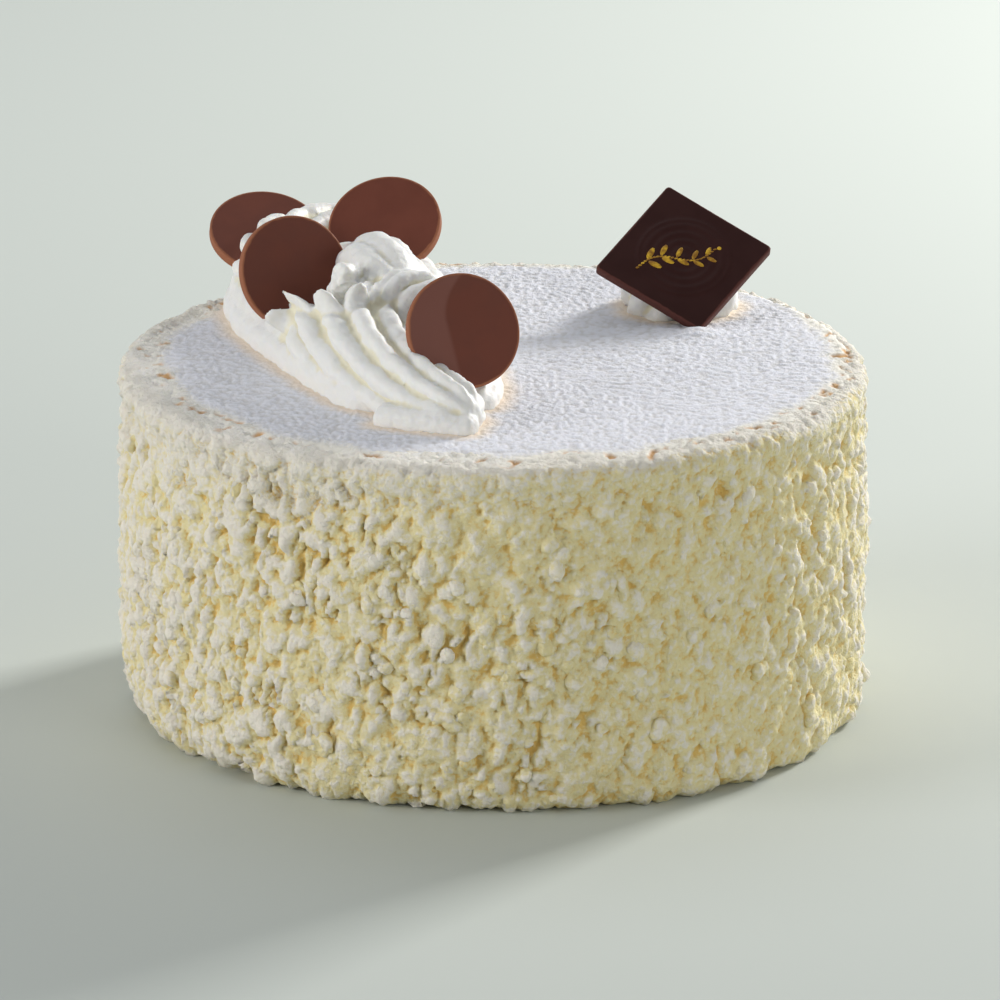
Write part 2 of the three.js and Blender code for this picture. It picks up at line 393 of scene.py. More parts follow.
def powder_group() -> bpy.types.ShaderNodeTree:
    """Builds the group that gives a surface fine powdery grains and slow patches.

    Returns:
        The group, with a Height for bumps and Patches from 0 to 1.
    """
    tree, given, result = shader_group(
        "Powder", {"Grain": 0.8, "Patch": 12.0}, {"Height": "NodeSocketFloat", "Patches": "NodeSocketFloat"}
    )
    fine = tree.node("ShaderNodeTexNoise", Vector=given.outputs["Vector"], Detail=5.0, Roughness=0.65)
    tree.feed(fine, "Scale", tree.math("DIVIDE", 1.0 / MM, given.outputs["Grain"]))
    lumps = tree.node("ShaderNodeTexVoronoi", Vector=given.outputs["Vector"])
    tree.feed(lumps, "Scale", tree.math("DIVIDE", 0.6 / MM, given.outputs["Grain"]))
    slow = tree.node("ShaderNodeTexNoise", Vector=given.outputs["Vector"], Detail=2.0)
    tree.feed(slow, "Scale", tree.math("DIVIDE", 1.0 / MM, given.outputs["Patch"]))
    height = tree.math("MULTIPLY_ADD", lumps.outputs["Distance"], -0.5, fine.outputs["Fac"])
    tree.feed(result, "Height", height)
    tree.feed(result, "Patches", tree.ramp(slow.outputs["Fac"], 0.35, 0.65))
    return tree.tree


def edge_highlight_group() -> bpy.types.ShaderNodeTree:
    """Builds the group that finds where a moulded piece's edges get a painted highlight.

    Returns:
        The group, with Lit_edge from 0 to 1 where the Edge input is high and a noise lets it through: where
        the painted highlight lies.
    """
    tree, given, result = shader_group(
        "Painted edge highlight", {"Edge": 0.0, "Reach": 0.5}, {"Lit_edge": "NodeSocketFloat"}
    )
    patchy = tree.node("ShaderNodeTexNoise", Vector=given.outputs["Vector"], Detail=4.0)
    patchy.inputs["Scale"].default_value = 0.45 / MM
    uneven = tree.math("MULTIPLY_ADD", patchy.outputs["Fac"], 0.5, given.outputs["Edge"])
    start = tree.math("SUBTRACT", 1.25, given.outputs["Reach"])
    lit_edge = tree.node("ShaderNodeMapRange", {"interpolation_type": "SMOOTHSTEP"}, Value=uneven)
    tree.feed(lit_edge, "From Min", start)
    tree.feed(lit_edge, "From Max", tree.math("ADD", start, 0.3))
    tree.feed(result, "Lit_edge", lit_edge.outputs["Result"])
    return tree.tree


@dataclass
class Groups:
    """The node groups that several materials share, each built once."""

    powder: bpy.types.ShaderNodeTree = field(default_factory=powder_group)
    edge_highlight: bpy.types.ShaderNodeTree = field(default_factory=edge_highlight_group)


def start_material(name: str) -> tuple[bpy.types.Material, Tree, bpy.types.Node]:
    """Starts a material.

    Args:
        name: the material's name.

    Returns:
        The material, its tree and its main shader.
    """
    material = bpy.data.materials.new(name)
    material.use_nodes = True
    return material, Tree(material.node_tree), material.node_tree.nodes["Principled BSDF"]


# ---------------------------------------------------------------- finishes


@dataclass(frozen=True)
class Canvas:
    """What a finish paints with: its tree, the place on the piece and the two outputs of the powder group."""

    tree: Tree
    groups: Groups
    place: bpy.types.NodeSocket
    height: bpy.types.NodeSocket
    patches: bpy.types.NodeSocket


@dataclass(frozen=True, kw_only=True)
class Finish:
    """What every finish of the cake shares, with sizes in millimetres.

    Grain is the size of a powdery grain, patch that of a slow patch, stretch how the grains are drawn out,
    and bump how deep they are and how much of that shows. Glow is how much of the light wanders inside,
    glow_reach how far, and glow_tint how far each colour does as a share of that.
    """

    name: str
    roughness: float
    shine: float
    grain: float
    patch: float
    bump: Pair
    stretch: tuple[float, float, float] = (1.0, 1.0, 1.0)
    metal: float = 0.0
    glow: float = 0.0
    glow_reach: float = 1.0
    glow_tint: Colour = (1.0, 1.0, 1.0)

    def material(self, groups: Groups) -> bpy.types.Material:
        """Builds the material.

        Args:
            groups: the shared node groups.

        Returns:
            The material.
        """
        material, tree, shader = start_material(self.name)
        place = tree.node("ShaderNodeTexCoord").outputs["Object"]
        place = tree.node("ShaderNodeMapping", Vector=place, Scale=self.stretch).outputs["Vector"]
        powder = tree.node("ShaderNodeGroup", {"node_tree": groups.powder}, Vector=place)
        tree.feed(powder, "Grain", self.grain)
        tree.feed(powder, "Patch", self.patch)
        height, patches = powder.outputs["Height"], powder.outputs["Patches"]
        depth, strength = self.bump
        bump = tree.node("ShaderNodeBump", Strength=strength, Distance=depth * MM, Height=height)
        inputs = {
            "Roughness": self.roughness,
            "Specular IOR Level": self.shine,
            "Metallic": self.metal,
            "Subsurface Weight": self.glow,
            "Subsurface Scale": self.glow_reach * MM,
            "Subsurface Radius": self.glow_tint,
            "Normal": bump.outputs["Normal"],
        }
        inputs.update(self.paint(Canvas(tree, groups, place, height, patches)))
        for title, value in inputs.items():
            tree.feed(shader, title, value)
        return material

    def paint(self, canvas: Canvas) -> dict[str, bpy.types.NodeSocket]:
        """Builds what is the finish's own.

        Args:
            canvas: what to paint with.

        Returns:
            What the main shader's inputs are linked to, by the inputs' names.
        """
        raise NotImplementedError


@dataclass(frozen=True, kw_only=True)
class MeringueFinish(Finish):
    """Crushed meringue with painted shade: darker and yellow down in the crevices, pale on the tops; dusted
    with sugar near the rim.

    Each pair says from where to where one colour goes over into the next.
    """

    name: str = "crushed meringue"
    roughness: float = 0.9
    shine: float = 0.25
    grain: float = 0.9
    patch: float = 9.0
    bump: Pair = (0.9, 0.9)
    glow: float = 0.12
    glow_reach: float = 1.3
    glow_tint: Colour = (1.0, 0.8, 0.45)
    # Painted shade: these three colours run from the darker yellow of the low places to the pale top of the
    # high ones.
    top: Colour = srgb(242, 236, 222)
    middle: Colour = srgb(237, 225, 174)
    crevice_shade: Colour = srgb(230, 196, 116)
    # The dust colours: sugar, and on the left side partly painted light.
    dust: Colour = srgb(238, 233, 221)
    thick_dust: Colour = srgb(253, 249, 240)
    crack: Colour = srgb(218, 174, 124)
    patchy: float = 0.12
    grainy: float = 0.7
    dust_grainy: float = 1.1
    to_middle: Pair = (0.2, 0.62)
    to_top: Pair = (0.62, 1.05)
    to_dust: Pair = (0.3, 1.0)
    to_thick_dust: Pair = (1.0, 1.6)

    def paint(self, canvas: Canvas) -> dict[str, bpy.types.NodeSocket]:
        """Builds the colour by the height, dust and cracks that each point stores; the height paints shade,
        darker and yellow, into the crevices.
        """
        tree = canvas.tree
        # The stored height and the grains' height set how much painted shade a point gets.
        uneven = tree.math("MULTIPLY_ADD", canvas.patches, self.patchy, tree.attribute("height"))
        uneven = tree.math("MULTIPLY_ADD", canvas.height, self.grainy, uneven)
        colour = tree.mix(tree.ramp(uneven, *self.to_middle), self.crevice_shade, self.middle)
        colour = tree.mix(tree.ramp(uneven, *self.to_top), colour, self.top)
        sprinkled = tree.math("MULTIPLY_ADD", canvas.height, self.dust_grainy, tree.attribute("dust"))
        colour = tree.mix(tree.ramp(sprinkled, *self.to_dust), colour, self.dust)
        thick = tree.ramp(tree.attribute("dust"), *self.to_thick_dust)
        colour = tree.mix(thick, colour, self.thick_dust)
        return {"Base Color": tree.mix(tree.attribute("crack"), colour, self.crack)}


@dataclass(frozen=True, kw_only=True)
class SugarFinish(Finish):
    """Icing sugar over fine crumbs: cold white, with painted shade in the hollows between its grains, and
    warm cracks and stains where it is thin.
    """

    name: str = "icing sugar"
    roughness: float = 0.95
    shine: float = 0.2
    grain: float = 0.65
    patch: float = 14.0
    bump: Pair = (0.38, 0.75)
    stretch: tuple[float, float, float] = (1.0, 0.75, 1.0)
    glow: float = 0.12
    glow_reach: float = 1.2
    glow_tint: Colour = (1.0, 0.85, 0.7)
    powder: Colour = srgb(234, 235, 242)
    # Painted shade: the hollow colour is the shade between the grains.
    hollow: Colour = srgb(221, 220, 222)
    side: Colour = srgb(243, 239, 228)
    crack: Colour = srgb(218, 174, 124)
    stain: Colour = srgb(245, 229, 210)
    side_grainy: float = -0.6
    to_powder: Pair = (0.2, 0.6)
    to_side: Pair = (-0.1, 0.7)

    def paint(self, canvas: Canvas) -> dict[str, bpy.types.NodeSocket]:
        """Builds the colour by the height, side, stain and cracks that each point stores; low grains get the
        hollow colour, which is painted shade.
        """
        tree = canvas.tree
        colour = tree.mix(tree.ramp(tree.attribute("height"), *self.to_powder), self.hollow, self.powder)
        bare = tree.math("MULTIPLY_ADD", canvas.height, self.side_grainy, tree.attribute("side"))
        colour = tree.mix(tree.ramp(bare, *self.to_side), colour, self.side)
        colour = tree.mix(tree.attribute("stain"), colour, self.stain)
        return {"Base Color": tree.mix(tree.attribute("crack"), colour, self.crack)}


@dataclass(frozen=True, kw_only=True)
class CreamFinish(Finish):
    """Whipped cream: soft white, with painted shade, faintly yellow, in its grooves."""

    name: str = "whipped cream"
    roughness: float = 0.5
    shine: float = 0.35
    grain: float = 0.6
    patch: float = 10.0
    bump: Pair = (0.2, 0.6)
    glow: float = 0.35
    glow_reach: float = 1.6
    glow_tint: Colour = (1.0, 0.85, 0.6)
    # Painted shade: the groove colour is the shade in the grooves, the ridge colour the cream's own.
    ridge: Colour = srgb(234, 234, 231)
    groove: Colour = srgb(231, 226, 203)
    patchy: float = 0.08
    to_ridge: Pair = (0.05, 0.5)

    def paint(self, canvas: Canvas) -> dict[str, bpy.types.NodeSocket]:
        """Builds the colour by the height that each point stores, which paints shade into the grooves."""
        tree = canvas.tree
        uneven = tree.math("MULTIPLY_ADD", canvas.patches, self.patchy, tree.attribute("height"))
        return {"Base Color": tree.mix(tree.ramp(uneven, *self.to_ridge), self.groove, self.ridge)}


@dataclass(frozen=True, kw_only=True)
class ChocolateFinish(Finish):
    """Moulded chocolate: satin, with a painted highlight along its edges and a paler patch of painted
    reflection on its face.
    """

    face: Colour
    # Painted highlight: the edge colour is the light caught along the rims.
    edge: Colour
    shine: float = 0.14
    grain: float = 1.6
    patch: float = 7.0
    bump: Pair = (0.03, 0.4)
    paler: float = 1.18
    patchy: float = 0.5
    # Painted reflection: how much paler the patch on the face is, and the haze it adds.
    reflection_light: float = 1.2
    reflection_haze: float = 0.024
    edge_highlight_reach: float = 0.5
    patch_roughness: float = 0.08
    edge_roughness: float = 0.15

    def paint(self, canvas: Canvas) -> dict[str, bpy.types.NodeSocket]:
        """Builds the colour and the roughness by the edge and the painted reflection patch that each point
        stores: the edge colour is a painted highlight, the patch a painted reflection.
        """
        tree = canvas.tree
        edge_highlight = tree.node("ShaderNodeGroup", {"node_tree": canvas.groups.edge_highlight}, Vector=canvas.place)
        tree.feed(edge_highlight, "Edge", tree.attribute("edge"))
        tree.feed(edge_highlight, "Reach", self.edge_highlight_reach)
        lit_edge = edge_highlight.outputs["Lit_edge"]
        paler = tuple(min(1.0, value * self.paler) for value in self.face)
        face = tree.mix(tree.math("MULTIPLY", canvas.patches, self.patchy), self.face, paler)
        # Painted reflection: the face is paler where the patch lies.
        reflection_light = tuple(value * self.reflection_light + self.reflection_haze for value in self.face)
        face = tree.mix(tree.attribute("reflection_patch"), face, reflection_light)
        dull = tree.math("MULTIPLY_ADD", canvas.patches, self.patch_roughness, self.roughness)
        return {
            "Base Color": tree.mix(lit_edge, face, self.edge),
            "Roughness": tree.math("MULTIPLY_ADD", lit_edge, self.edge_roughness, dull),
        }


# The edge colours paint a highlight along the rims.
MILK_CHOCOLATE = ChocolateFinish(
    name="milk chocolate", face=srgb(105, 58, 45), edge=srgb(150, 96, 70), roughness=0.42
)
DARK_CHOCOLATE = ChocolateFinish(
    name="dark chocolate", face=srgb(51, 26, 23), edge=srgb(88, 51, 45), roughness=0.36
)


@dataclass(frozen=True, kw_only=True)
class GoldFinish(Finish):
    """Edible gold print: matt, a little uneven."""

    name: str = "gold print"
    roughness: float = 0.45
    shine: float = 0.5
    grain: float = 0.8
    patch: float = 2.0
    bump: Pair = (0.02, 0.5)
    metal: float = 0.25
    bright: Colour = srgb(222, 178, 40)
    thin: Colour = srgb(150, 104, 22)

    def paint(self, canvas: Canvas) -> dict[str, bpy.types.NodeSocket]:
        """Builds the patchy colour."""
        return {"Base Color": canvas.tree.mix(canvas.patches, self.thin, self.bright)}


@dataclass(frozen=True)
class FloorFinish:
    """A plain pale studio floor."""

    colour: Colour = srgb(198, 204, 198)
    roughness: float = 0.8

    def material(self) -> bpy.types.Material:
        """Builds the material."""
        material, tree, shader = start_material("studio floor")
        tree.feed(shader, "Base Color", (*self.colour, 1.0))
        tree.feed(shader, "Roughness", self.roughness)
        return material


# ---------------------------------------------------------------- the cake and its coat


class Draws:
    """Seeded draws from 0 to 1: the linear congruential generator that places the solid's lumps too."""

    def __init__(self, seed: int) -> None:
        """Starts the draws."""
        self.state = seed

    def next(self) -> float:
        """Gives the next draw."""
        self.state = (self.state * 1664525 + 1013904223) % 2**32
        return self.state / 2**32

    def between(self, low: float, high: float) -> float:
        """Gives a draw between two values."""
        return low + (high - low) * self.next()


@dataclass(frozen=True)
class Spot:
    """A place on the wall, with a draw that sets the size of what lies there."""

    angle: float
    z: float
    size: float


def spread(count: int, draws: Draws, low: float, high: float) -> list[Spot]:
    """Spreads spots evenly over the wall, each a golden angle on from the last and a little higher.

    Args:
        count: how many spots.
        draws: the seeded draws.
        low: the lowest height, in millimetres.
        high: the greatest height, in millimetres.

    Returns:
        The spots.
    """
    golden = math.pi * (3.0 - math.sqrt(5.0))
    scatter = 0.06
    spots = []
    for i in range(count):
        angle = i * golden + scatter * (draws.next() - 0.5)
        z = low + (high - low) * (i + draws.next()) / count
        spots.append(Spot(angle, z, draws.next()))
    return spots


@dataclass(frozen=True)
class Crush:
    """One size of crushed meringue pressed into the coat, in millimetres.

    The radii are half the width of a lump, rise is its height as a share of that, base is where its edge lies
    and tall is how much longer than wide it is.
    """

    count: int
    radii: tuple[float, float]
    rise: float
    base: tuple[float, float]
    tall: tuple[float, float]


@dataclass(frozen=True)
class Unrolled:
    """The coat's grid rolled out flat: each point's shifted place round the wall and along the profile.

    Rows is where each row lies along the profile, by which windows are found, and around is the way round.
    """

    u: np.ndarray
    v: np.ndarray
    rows: np.ndarray
    around: float

    def window(self, at: Pair, wide: float, tall: float) -> tuple[tuple, np.ndarray, np.ndarray]:
        """Finds the points near a place.

        Args:
            at: the place, round the wall and along the profile, in millimetres.
            wide: how far to look round the wall.
            tall: how far to look along the profile.

        Returns:
            The points' index, and how far each lies from the place both ways.
        """
        columns = self.u.shape[1]
        pitch = self.around / columns
        low, high = np.searchsorted(self.rows, (at[1] - tall, at[1] + tall))
        near = np.arange(int((at[0] - wide) / pitch), int((at[0] + wide) / pitch) + 2) % columns
        index = np.ix_(range(low, high), near)
        across = (self.u[index] - at[0] + self.around / 2) % self.around - self.around / 2
        return index, across, self.v[index] - at[1]


@dataclass
class CoatGrid:
    """A fine grid laid over the wall and over the rim, with a height at each of its points."""

    around: np.ndarray
    along: np.ndarray
    radius: np.ndarray
    z: np.ndarray
    out: np.ndarray
    up: np.ndarray

    def place(self, height: np.ndarray, slip: float, drawn_in: np.ndarray) -> np.ndarray:
        """Puts every point at its height over the profile, and slides slopes towards their feet.

        Args:
            height: the height at each point, in millimetres.
            slip: how far a slope of one slides, in millimetres, which makes lumps bulge over their crevices.
            drawn_in: how far the foot is drawn in at each point.

        Returns:
            The points, in millimetres, rows by columns by three.
        """
        step = TURN * self.radius[:, None] / len(self.around)
        across = (np.roll(height, -1, 1) - np.roll(height, 1, 1)) / (2 * step)
        upward = np.gradient(height, axis=0) / np.maximum(np.gradient(self.along), 0.05)[:, None]
        angle = self.around[None, :] - slip * np.clip(across, -2, 2) / self.radius[:, None]
        slide = -slip * np.clip(upward, -2, 2)
        reach = self.radius[:, None] - drawn_in + self.out[:, None] * height - self.up[:, None] * slide
        z = self.z[:, None] + self.up[:, None] * height + self.out[:, None] * slide
        return np.stack([reach * np.cos(angle), reach * np.sin(angle), np.maximum(z, 0.0)], axis=2)


@dataclass
class Coat:
    """The cake's wall and its coat of crushed meringue, which goes on over the rim."""

    height: float = 95.0
    wall_radius: float = 97.2
    wall_bulge: float = 1.2
    rim_radius: float = 99.2
    rim_round: float = 3.5
    foot_round: float = 4.0
    foot_flat: float = 90.0
    undercut_depth: float = 5.0
    undercut_height: float = 20.0
    undercut_angle: float = math.radians(218)
    smooth_band: float = 9.0
    lump_count: int = 430
    lump_radii: tuple[float, float] = (4.9, 7.4)
    lump_rise: float = 0.52
    lump_tall: float = 1.18
    lump_share: float = 0.42  # how much of the solid's lumps shows under the crushed pieces
    crumb_count: int = 60
    crumb_radii: tuple[float, float] = (3.8, 6.2)
    crumb_depth: float = 0.8
    outer_radius: float = 102.4
    seed: int = 23
    columns: int = 752
    wall_rows: int = 102
    inner_radius: float = 82.0
    sugar_radius: float = 92.2
    sugar_drift: float = 3.6
    sugar_toward: float = math.radians(225)
    sugar_over: float = 1.7  # for each millimetre below the top a point counts as this much farther out
    sugar_waver: tuple[Layer, ...] = (Layer(Relief.WAVES, 20.0, 5.0), Layer(Relief.WAVES, 7.0, 2.6))
    floor: float = -0.7
    blend: float = 3.2
    dome_power: float = 0.7
    slip: float = 0.08
    foot_turns: tuple[float, ...] = (0.3, 0.55, 0.8)
    flare_height: float = 9.0
    flare_power: float = 1.5
    rim_rows: int = 7
    top_rows: int = 13
    warps: tuple[Pair, ...] = ((5.5, 1.5), (2.4, 0.7))  # size and reach of each shift of the outlines
    ground: tuple[Layer, ...] = (
        Layer(Relief.WAVES, 5.2, 1.9),
        Layer(Relief.WAVES, 2.7, 1.5),
        Layer(Relief.WAVES, 1.6, 0.9),
    )
    ground_squat: float = 0.7
    fine: tuple[Layer, ...] = (
        Layer(Relief.GRAINS, 2.1, 0.32),
        Layer(Relief.WAVES, 1.7, 0.6),
        Layer(Relief.WAVES, 26.0, 0.4),
    )
    kinds: tuple[Crush, ...] = (
        Crush(240, (2.6, 4.8), 0.3, (-0.7, 0.5), (0.9, 1.6)),
        Crush(1500, (1.5, 2.8), 0.42, (-0.8, 0.6), (0.9, 2.0)),
        Crush(3800, (0.8, 1.4), 0.6, (-0.6, 0.7), (0.8, 1.8)),
    )
    crush_skew: float = 1.6  # the higher, the more of the crushed pieces are small ones
    crush_lean: float = 0.7
    crush_margin: float = 2.4
    moat_width: float = 0.6
    moat_depth: float = 1.25
    moat_share: float = 0.5  # of a piece's half width, that its moat is at most deep
    moat_at: float = 1.05
    slot_count: int = 1500
    slot_width: Pair = (0.5, 0.9)
    slot_depth: Pair = (0.7, 1.9)
    slot_tall: Pair = (1.2, 3.4)
    slot_toward: float = math.radians(203)
    slot_deeper: Pair = (0.55, 0.75)  # share of the depth everywhere, and what the lee side adds
    slot_taller: Pair = (0.9, 0.7)
    slot_lean: float = 0.35
    slot_margin: Pair = (4.5, 1.5)
    slot_stop: float = 16.0
    flatter_toward: float = math.radians(-45)
    flatter_share: float = 0.52
    lee_share: float = 0.1
    rugged_toward: float = math.radians(20)
    rugged_share: float = 0.7
    front_toward: float = math.radians(275)
    calm_from: float = -2.5  # the pieces calm down round the lower edge of the smooth band
    calm_to: float = 3.5
    calm_waver: float = 5.0
    calm_flatter: float = 0.35
    calm_rise: float = 0.35
    pressed_least: float = 0.8
    pressed_range: Pair = (-0.5, 0.3)
    wall_rise: float = 0.3
    top_flatter: float = 0.4
    top_tilt: Pair = (0.3, 0.8)  # how far the profile has turned up where the rim begins and ends
    crack_depth: float = 0.6
    tuck_from: Pair = (2.0, 6.0)  # inside the sugar's edge the coat goes down under the sugar
    tuck_depth: float = 1.6
    inner_ring: Pair = (80.0, 92.5)
    inner_sink: float = 2.5
    foot_ring: float = 88.0
    cover_from: float = 3.0
    dust_from: Pair = (82.0, 93.0)
    # On the left side the dust reaches lower and lies thicker: partly real sugar, partly painted light where
    # the fill light falls.
    dust_and_light_left: float = 9.0
    dust_waver: float = 4.0
    dust_and_light_share: Pair = (0.2, 0.33)
    # The heap on the left of the rim is partly real sugar, partly painted light.
    heap: float = 0.6
    heap_ends: Pair = (1.0, 5.0)
    # How the coat's painted shade is worked out: low against the relief around it means shade, high means the
    # pale top.
    shade_tone_middle: float = 0.46
    # Painted light on the left side, where the fill light falls, and painted shade on the front.
    painted_light_left: float = 0.1
    painted_shade_front: float = 0.06
    shade_tone_range: float = 2.0
    shade_tone_blur: float = 3.0
    shade_tone_lumps: float = 0.6
    draws: Draws = field(init=False)
    lumps: list[Spot] = field(init=False)
    boulders: list[Spot] = field(init=False)

    def __post_init__(self) -> None:
        """Draws the lumps and the largest crumbs in the order in which the solid draws them."""
        self.draws = Draws(self.seed)
        top = self.height - self.smooth_band
        self.lumps = spread(self.lump_count, self.draws, 1.0, top)
        largest = self.crumb_radii[1]
        self.boulders = spread(self.crumb_count, self.draws, largest * 1.3, top - largest)

    def undercut(self, angle: np.ndarray, z: np.ndarray) -> np.ndarray:
        """Works out how far the foot is drawn in, in millimetres."""
        facing = np.maximum(0.0, np.cos(angle - self.undercut_angle))
        low = np.maximum(0.0, 1.0 - z / self.undercut_height)
        return self.undercut_depth * facing * low * low

    def evenness(self, angle: np.ndarray) -> np.ndarray:
        """Works out how strongly the crushed pieces stand out: less at the right, more at the left."""
        right, left = facing(angle, self.flatter_toward) ** 2, facing(angle, self.slot_toward) ** 2
        return 1.0 - self.flatter_share * right + self.lee_share * left

    def lump_rises(self, angle: np.ndarray, z: np.ndarray) -> np.ndarray:
        """Works out how far the solid's nearest lump stands out at each place, in millimetres."""
        x, y = self.wall_radius * np.cos(angle), self.wall_radius * np.sin(angle)
        rise = np.zeros(z.shape)
        for spot in self.lumps:
            radius = self.lump_radii[0] + (self.lump_radii[1] - self.lump_radii[0]) * spot.size**2
            level = np.abs(z - spot.z) < radius * self.lump_tall
            away = (x[level] - self.wall_radius * math.cos(spot.angle)) ** 2
            away += (y[level] - self.wall_radius * math.sin(spot.angle)) ** 2
            away += ((z[level] - spot.z) / self.lump_tall) ** 2
            dome = radius * self.lump_rise * np.sqrt(np.maximum(0.0, 1.0 - away / radius**2))
            rise[level] = np.maximum(rise[level], dome)
        return rise

    def grid(self) -> CoatGrid:
        """Lays the grid: up the wall from the foot, round the rim and in over the top.

        Returns:
            The grid, with its profile's radius, height and outward direction for each row.
        """
        wall_top = self.height - self.rim_round
        rows: list[tuple[float, float, float]] = []
        for share in self.foot_turns:
            turn = share * math.pi / 2
            reach = self.foot_flat + (self.wall_radius - self.foot_flat) * math.sin(turn)
            rows.append((reach, self.foot_round * (1.0 - math.cos(turn)), turn - math.pi / 2))
        for share in np.arange(self.wall_rows) / self.wall_rows:
            z = self.foot_round + (wall_top - self.foot_round) * share
            flare = max(0.0, 1.0 - (wall_top - z) / self.flare_height) ** self.flare_power
            bulge = self.wall_bulge * math.sin(math.pi * share)
            rows.append((self.wall_radius + bulge + flare * (self.rim_radius - self.wall_radius), z, 0.0))
        flat = self.rim_radius - self.rim_round
        for turn in np.linspace(0.0, math.pi / 2, self.rim_rows):
            out, up = self.rim_round * math.cos(turn), self.rim_round * math.sin(turn)
            rows.append((flat + out, wall_top + up, turn))
        for share in np.arange(1, self.top_rows + 1) / self.top_rows:
            rows.append((flat + (self.inner_radius - flat) * share, self.height, math.pi / 2))
        radius, z, tilt = (np.array(column) for column in zip(*rows))
        along = np.concatenate([[0.0], np.cumsum(np.hypot(np.diff(radius), np.diff(z)))])
        around = TURN * np.arange(self.columns) / self.columns
        return CoatGrid(around, along, radius, z, np.cos(tilt), np.sin(tilt))

    def crushed(self, grid: CoatGrid) -> np.ndarray:
        """Works out the height of the crushed pieces: soft uneven domes, the highest at each place.

        Args:
            grid: the coat's grid.

        Returns:
            The heights, in millimetres, rows by columns.
        """
        reach = np.repeat(grid.radius[:, None], self.columns, 1)
        z = np.repeat(grid.z[:, None], self.columns, 1)
        solid = np.stack([reach * np.cos(grid.around), reach * np.sin(grid.around), z], axis=2).reshape(-1, 3)
        bent = sum(warp(solid, size, far) for size, far in self.warps).reshape(*reach.shape, 2)
        u, v = grid.around * self.wall_radius + bent[..., 0], grid.along[:, None] + bent[..., 1]
        sheet, length = Unrolled(u, v, grid.along, TURN * self.wall_radius), grid.along[-1]
        ground = relief(solid * np.array([1.0, 1.0, self.ground_squat]) * MM, self.ground)
        total = np.exp(self.blend * (self.floor + ground.reshape(reach.shape) / MM))
        moat = np.zeros(reach.shape)
        draws = self.draws
        for kind in self.kinds:
            for _ in range(kind.count):
                at = (draws.next() * sheet.around, draws.next() * length)
                wide = kind.radii[0] + (kind.radii[1] - kind.radii[0]) * draws.next() ** self.crush_skew
                tall = wide * draws.between(*kind.tall)
                lean = draws.between(-self.crush_lean, self.crush_lean)
                base = draws.between(*kind.base)
                span = max(wide, tall) + self.crush_margin
                window, across, upward = sheet.window(at, span, span)
                turned = across * math.cos(lean) + upward * math.sin(lean)
                length_way = upward * math.cos(lean) - across * math.sin(lean)
                rim = np.sqrt((turned / wide) ** 2 + (length_way / tall) ** 2)
                inside = np.maximum(0.0, 1.0 - rim**2)
                dome = base + wide * kind.rise * inside**self.dome_power
                total[window] += np.where(inside > 0.0, np.exp(self.blend * dome), 0.0)
                faces = draws.between(-math.pi, math.pi)
                deep = min(self.moat_depth * draws.next() ** 2, wide * self.moat_share)
                toward = (across * math.cos(faces) + upward * math.sin(faces)) / np.maximum(rim * wide, 0.1)
                ring = np.exp(-(((rim - self.moat_at) * wide / self.moat_width) ** 2))
                moat[window] = np.maximum(moat[window], ring * np.clip(toward, 0.0, 1.0) * deep)
        return np.log(total) / self.blend - np.maximum(moat, self._slots(sheet, length))

    def _slots(self, sheet: Unrolled, length: float) -> np.ndarray:
        """Works out the depth of the narrow upright slots between the crushed pieces.

        Args:
            sheet: the grid rolled out flat.
            length: the profile's length, in millimetres.

        Returns:
            The depth at each point, in millimetres.
        """
        depth, draws = np.zeros(sheet.u.shape), self.draws
        sheet = replace(sheet, rows=sheet.v.mean(axis=1))
        for _ in range(self.slot_count):
            at = (draws.next() * sheet.around, draws.next() * (length - self.slot_stop))
            limits = (self.slot_width, self.slot_depth, self.slot_tall)
            wide, deep, tall = (draws.between(*pair) for pair in limits)
            lean = draws.between(-self.slot_lean, self.slot_lean)
            lee = max(0.0, math.cos(at[0] / self.wall_radius - self.slot_toward))
            deep *= self.slot_deeper[0] + self.slot_deeper[1] * lee
            tall *= self.slot_taller[0] + self.slot_taller[1] * lee
            window, across, upward = sheet.window(at, self.slot_margin[0], tall + self.slot_margin[1])
            turned = across * math.cos(lean) + upward * math.sin(lean)
            inside = np.maximum(0.0, 1.0 - (turned / wide) ** 2 - (upward / tall) ** 2)
            depth[window] = np.maximum(depth[window], deep * np.sqrt(inside))
        return depth

    def build(self) -> bpy.types.Object:
        """Builds the coat as a closed body.

        Returns:
            The coat, which stores where crumbs may lie, how much sugar dusts it (on the left side partly
            painted light), how much painted shade each point gets, and its cracks.
        """
        grid = self.grid()
        shape = (len(grid.radius), self.columns)
        angle = np.broadcast_to(grid.around, shape)
        z = np.broadcast_to(grid.z[:, None], shape)
        flat = grid.place(np.zeros(shape), 0.0, np.zeros(shape)).reshape(-1, 3) * MM

        def uneven(*layers: Layer) -> np.ndarray:
            """Gives the height of a relief over the grid, in millimetres."""
            return relief(flat, layers).reshape(shape) / MM

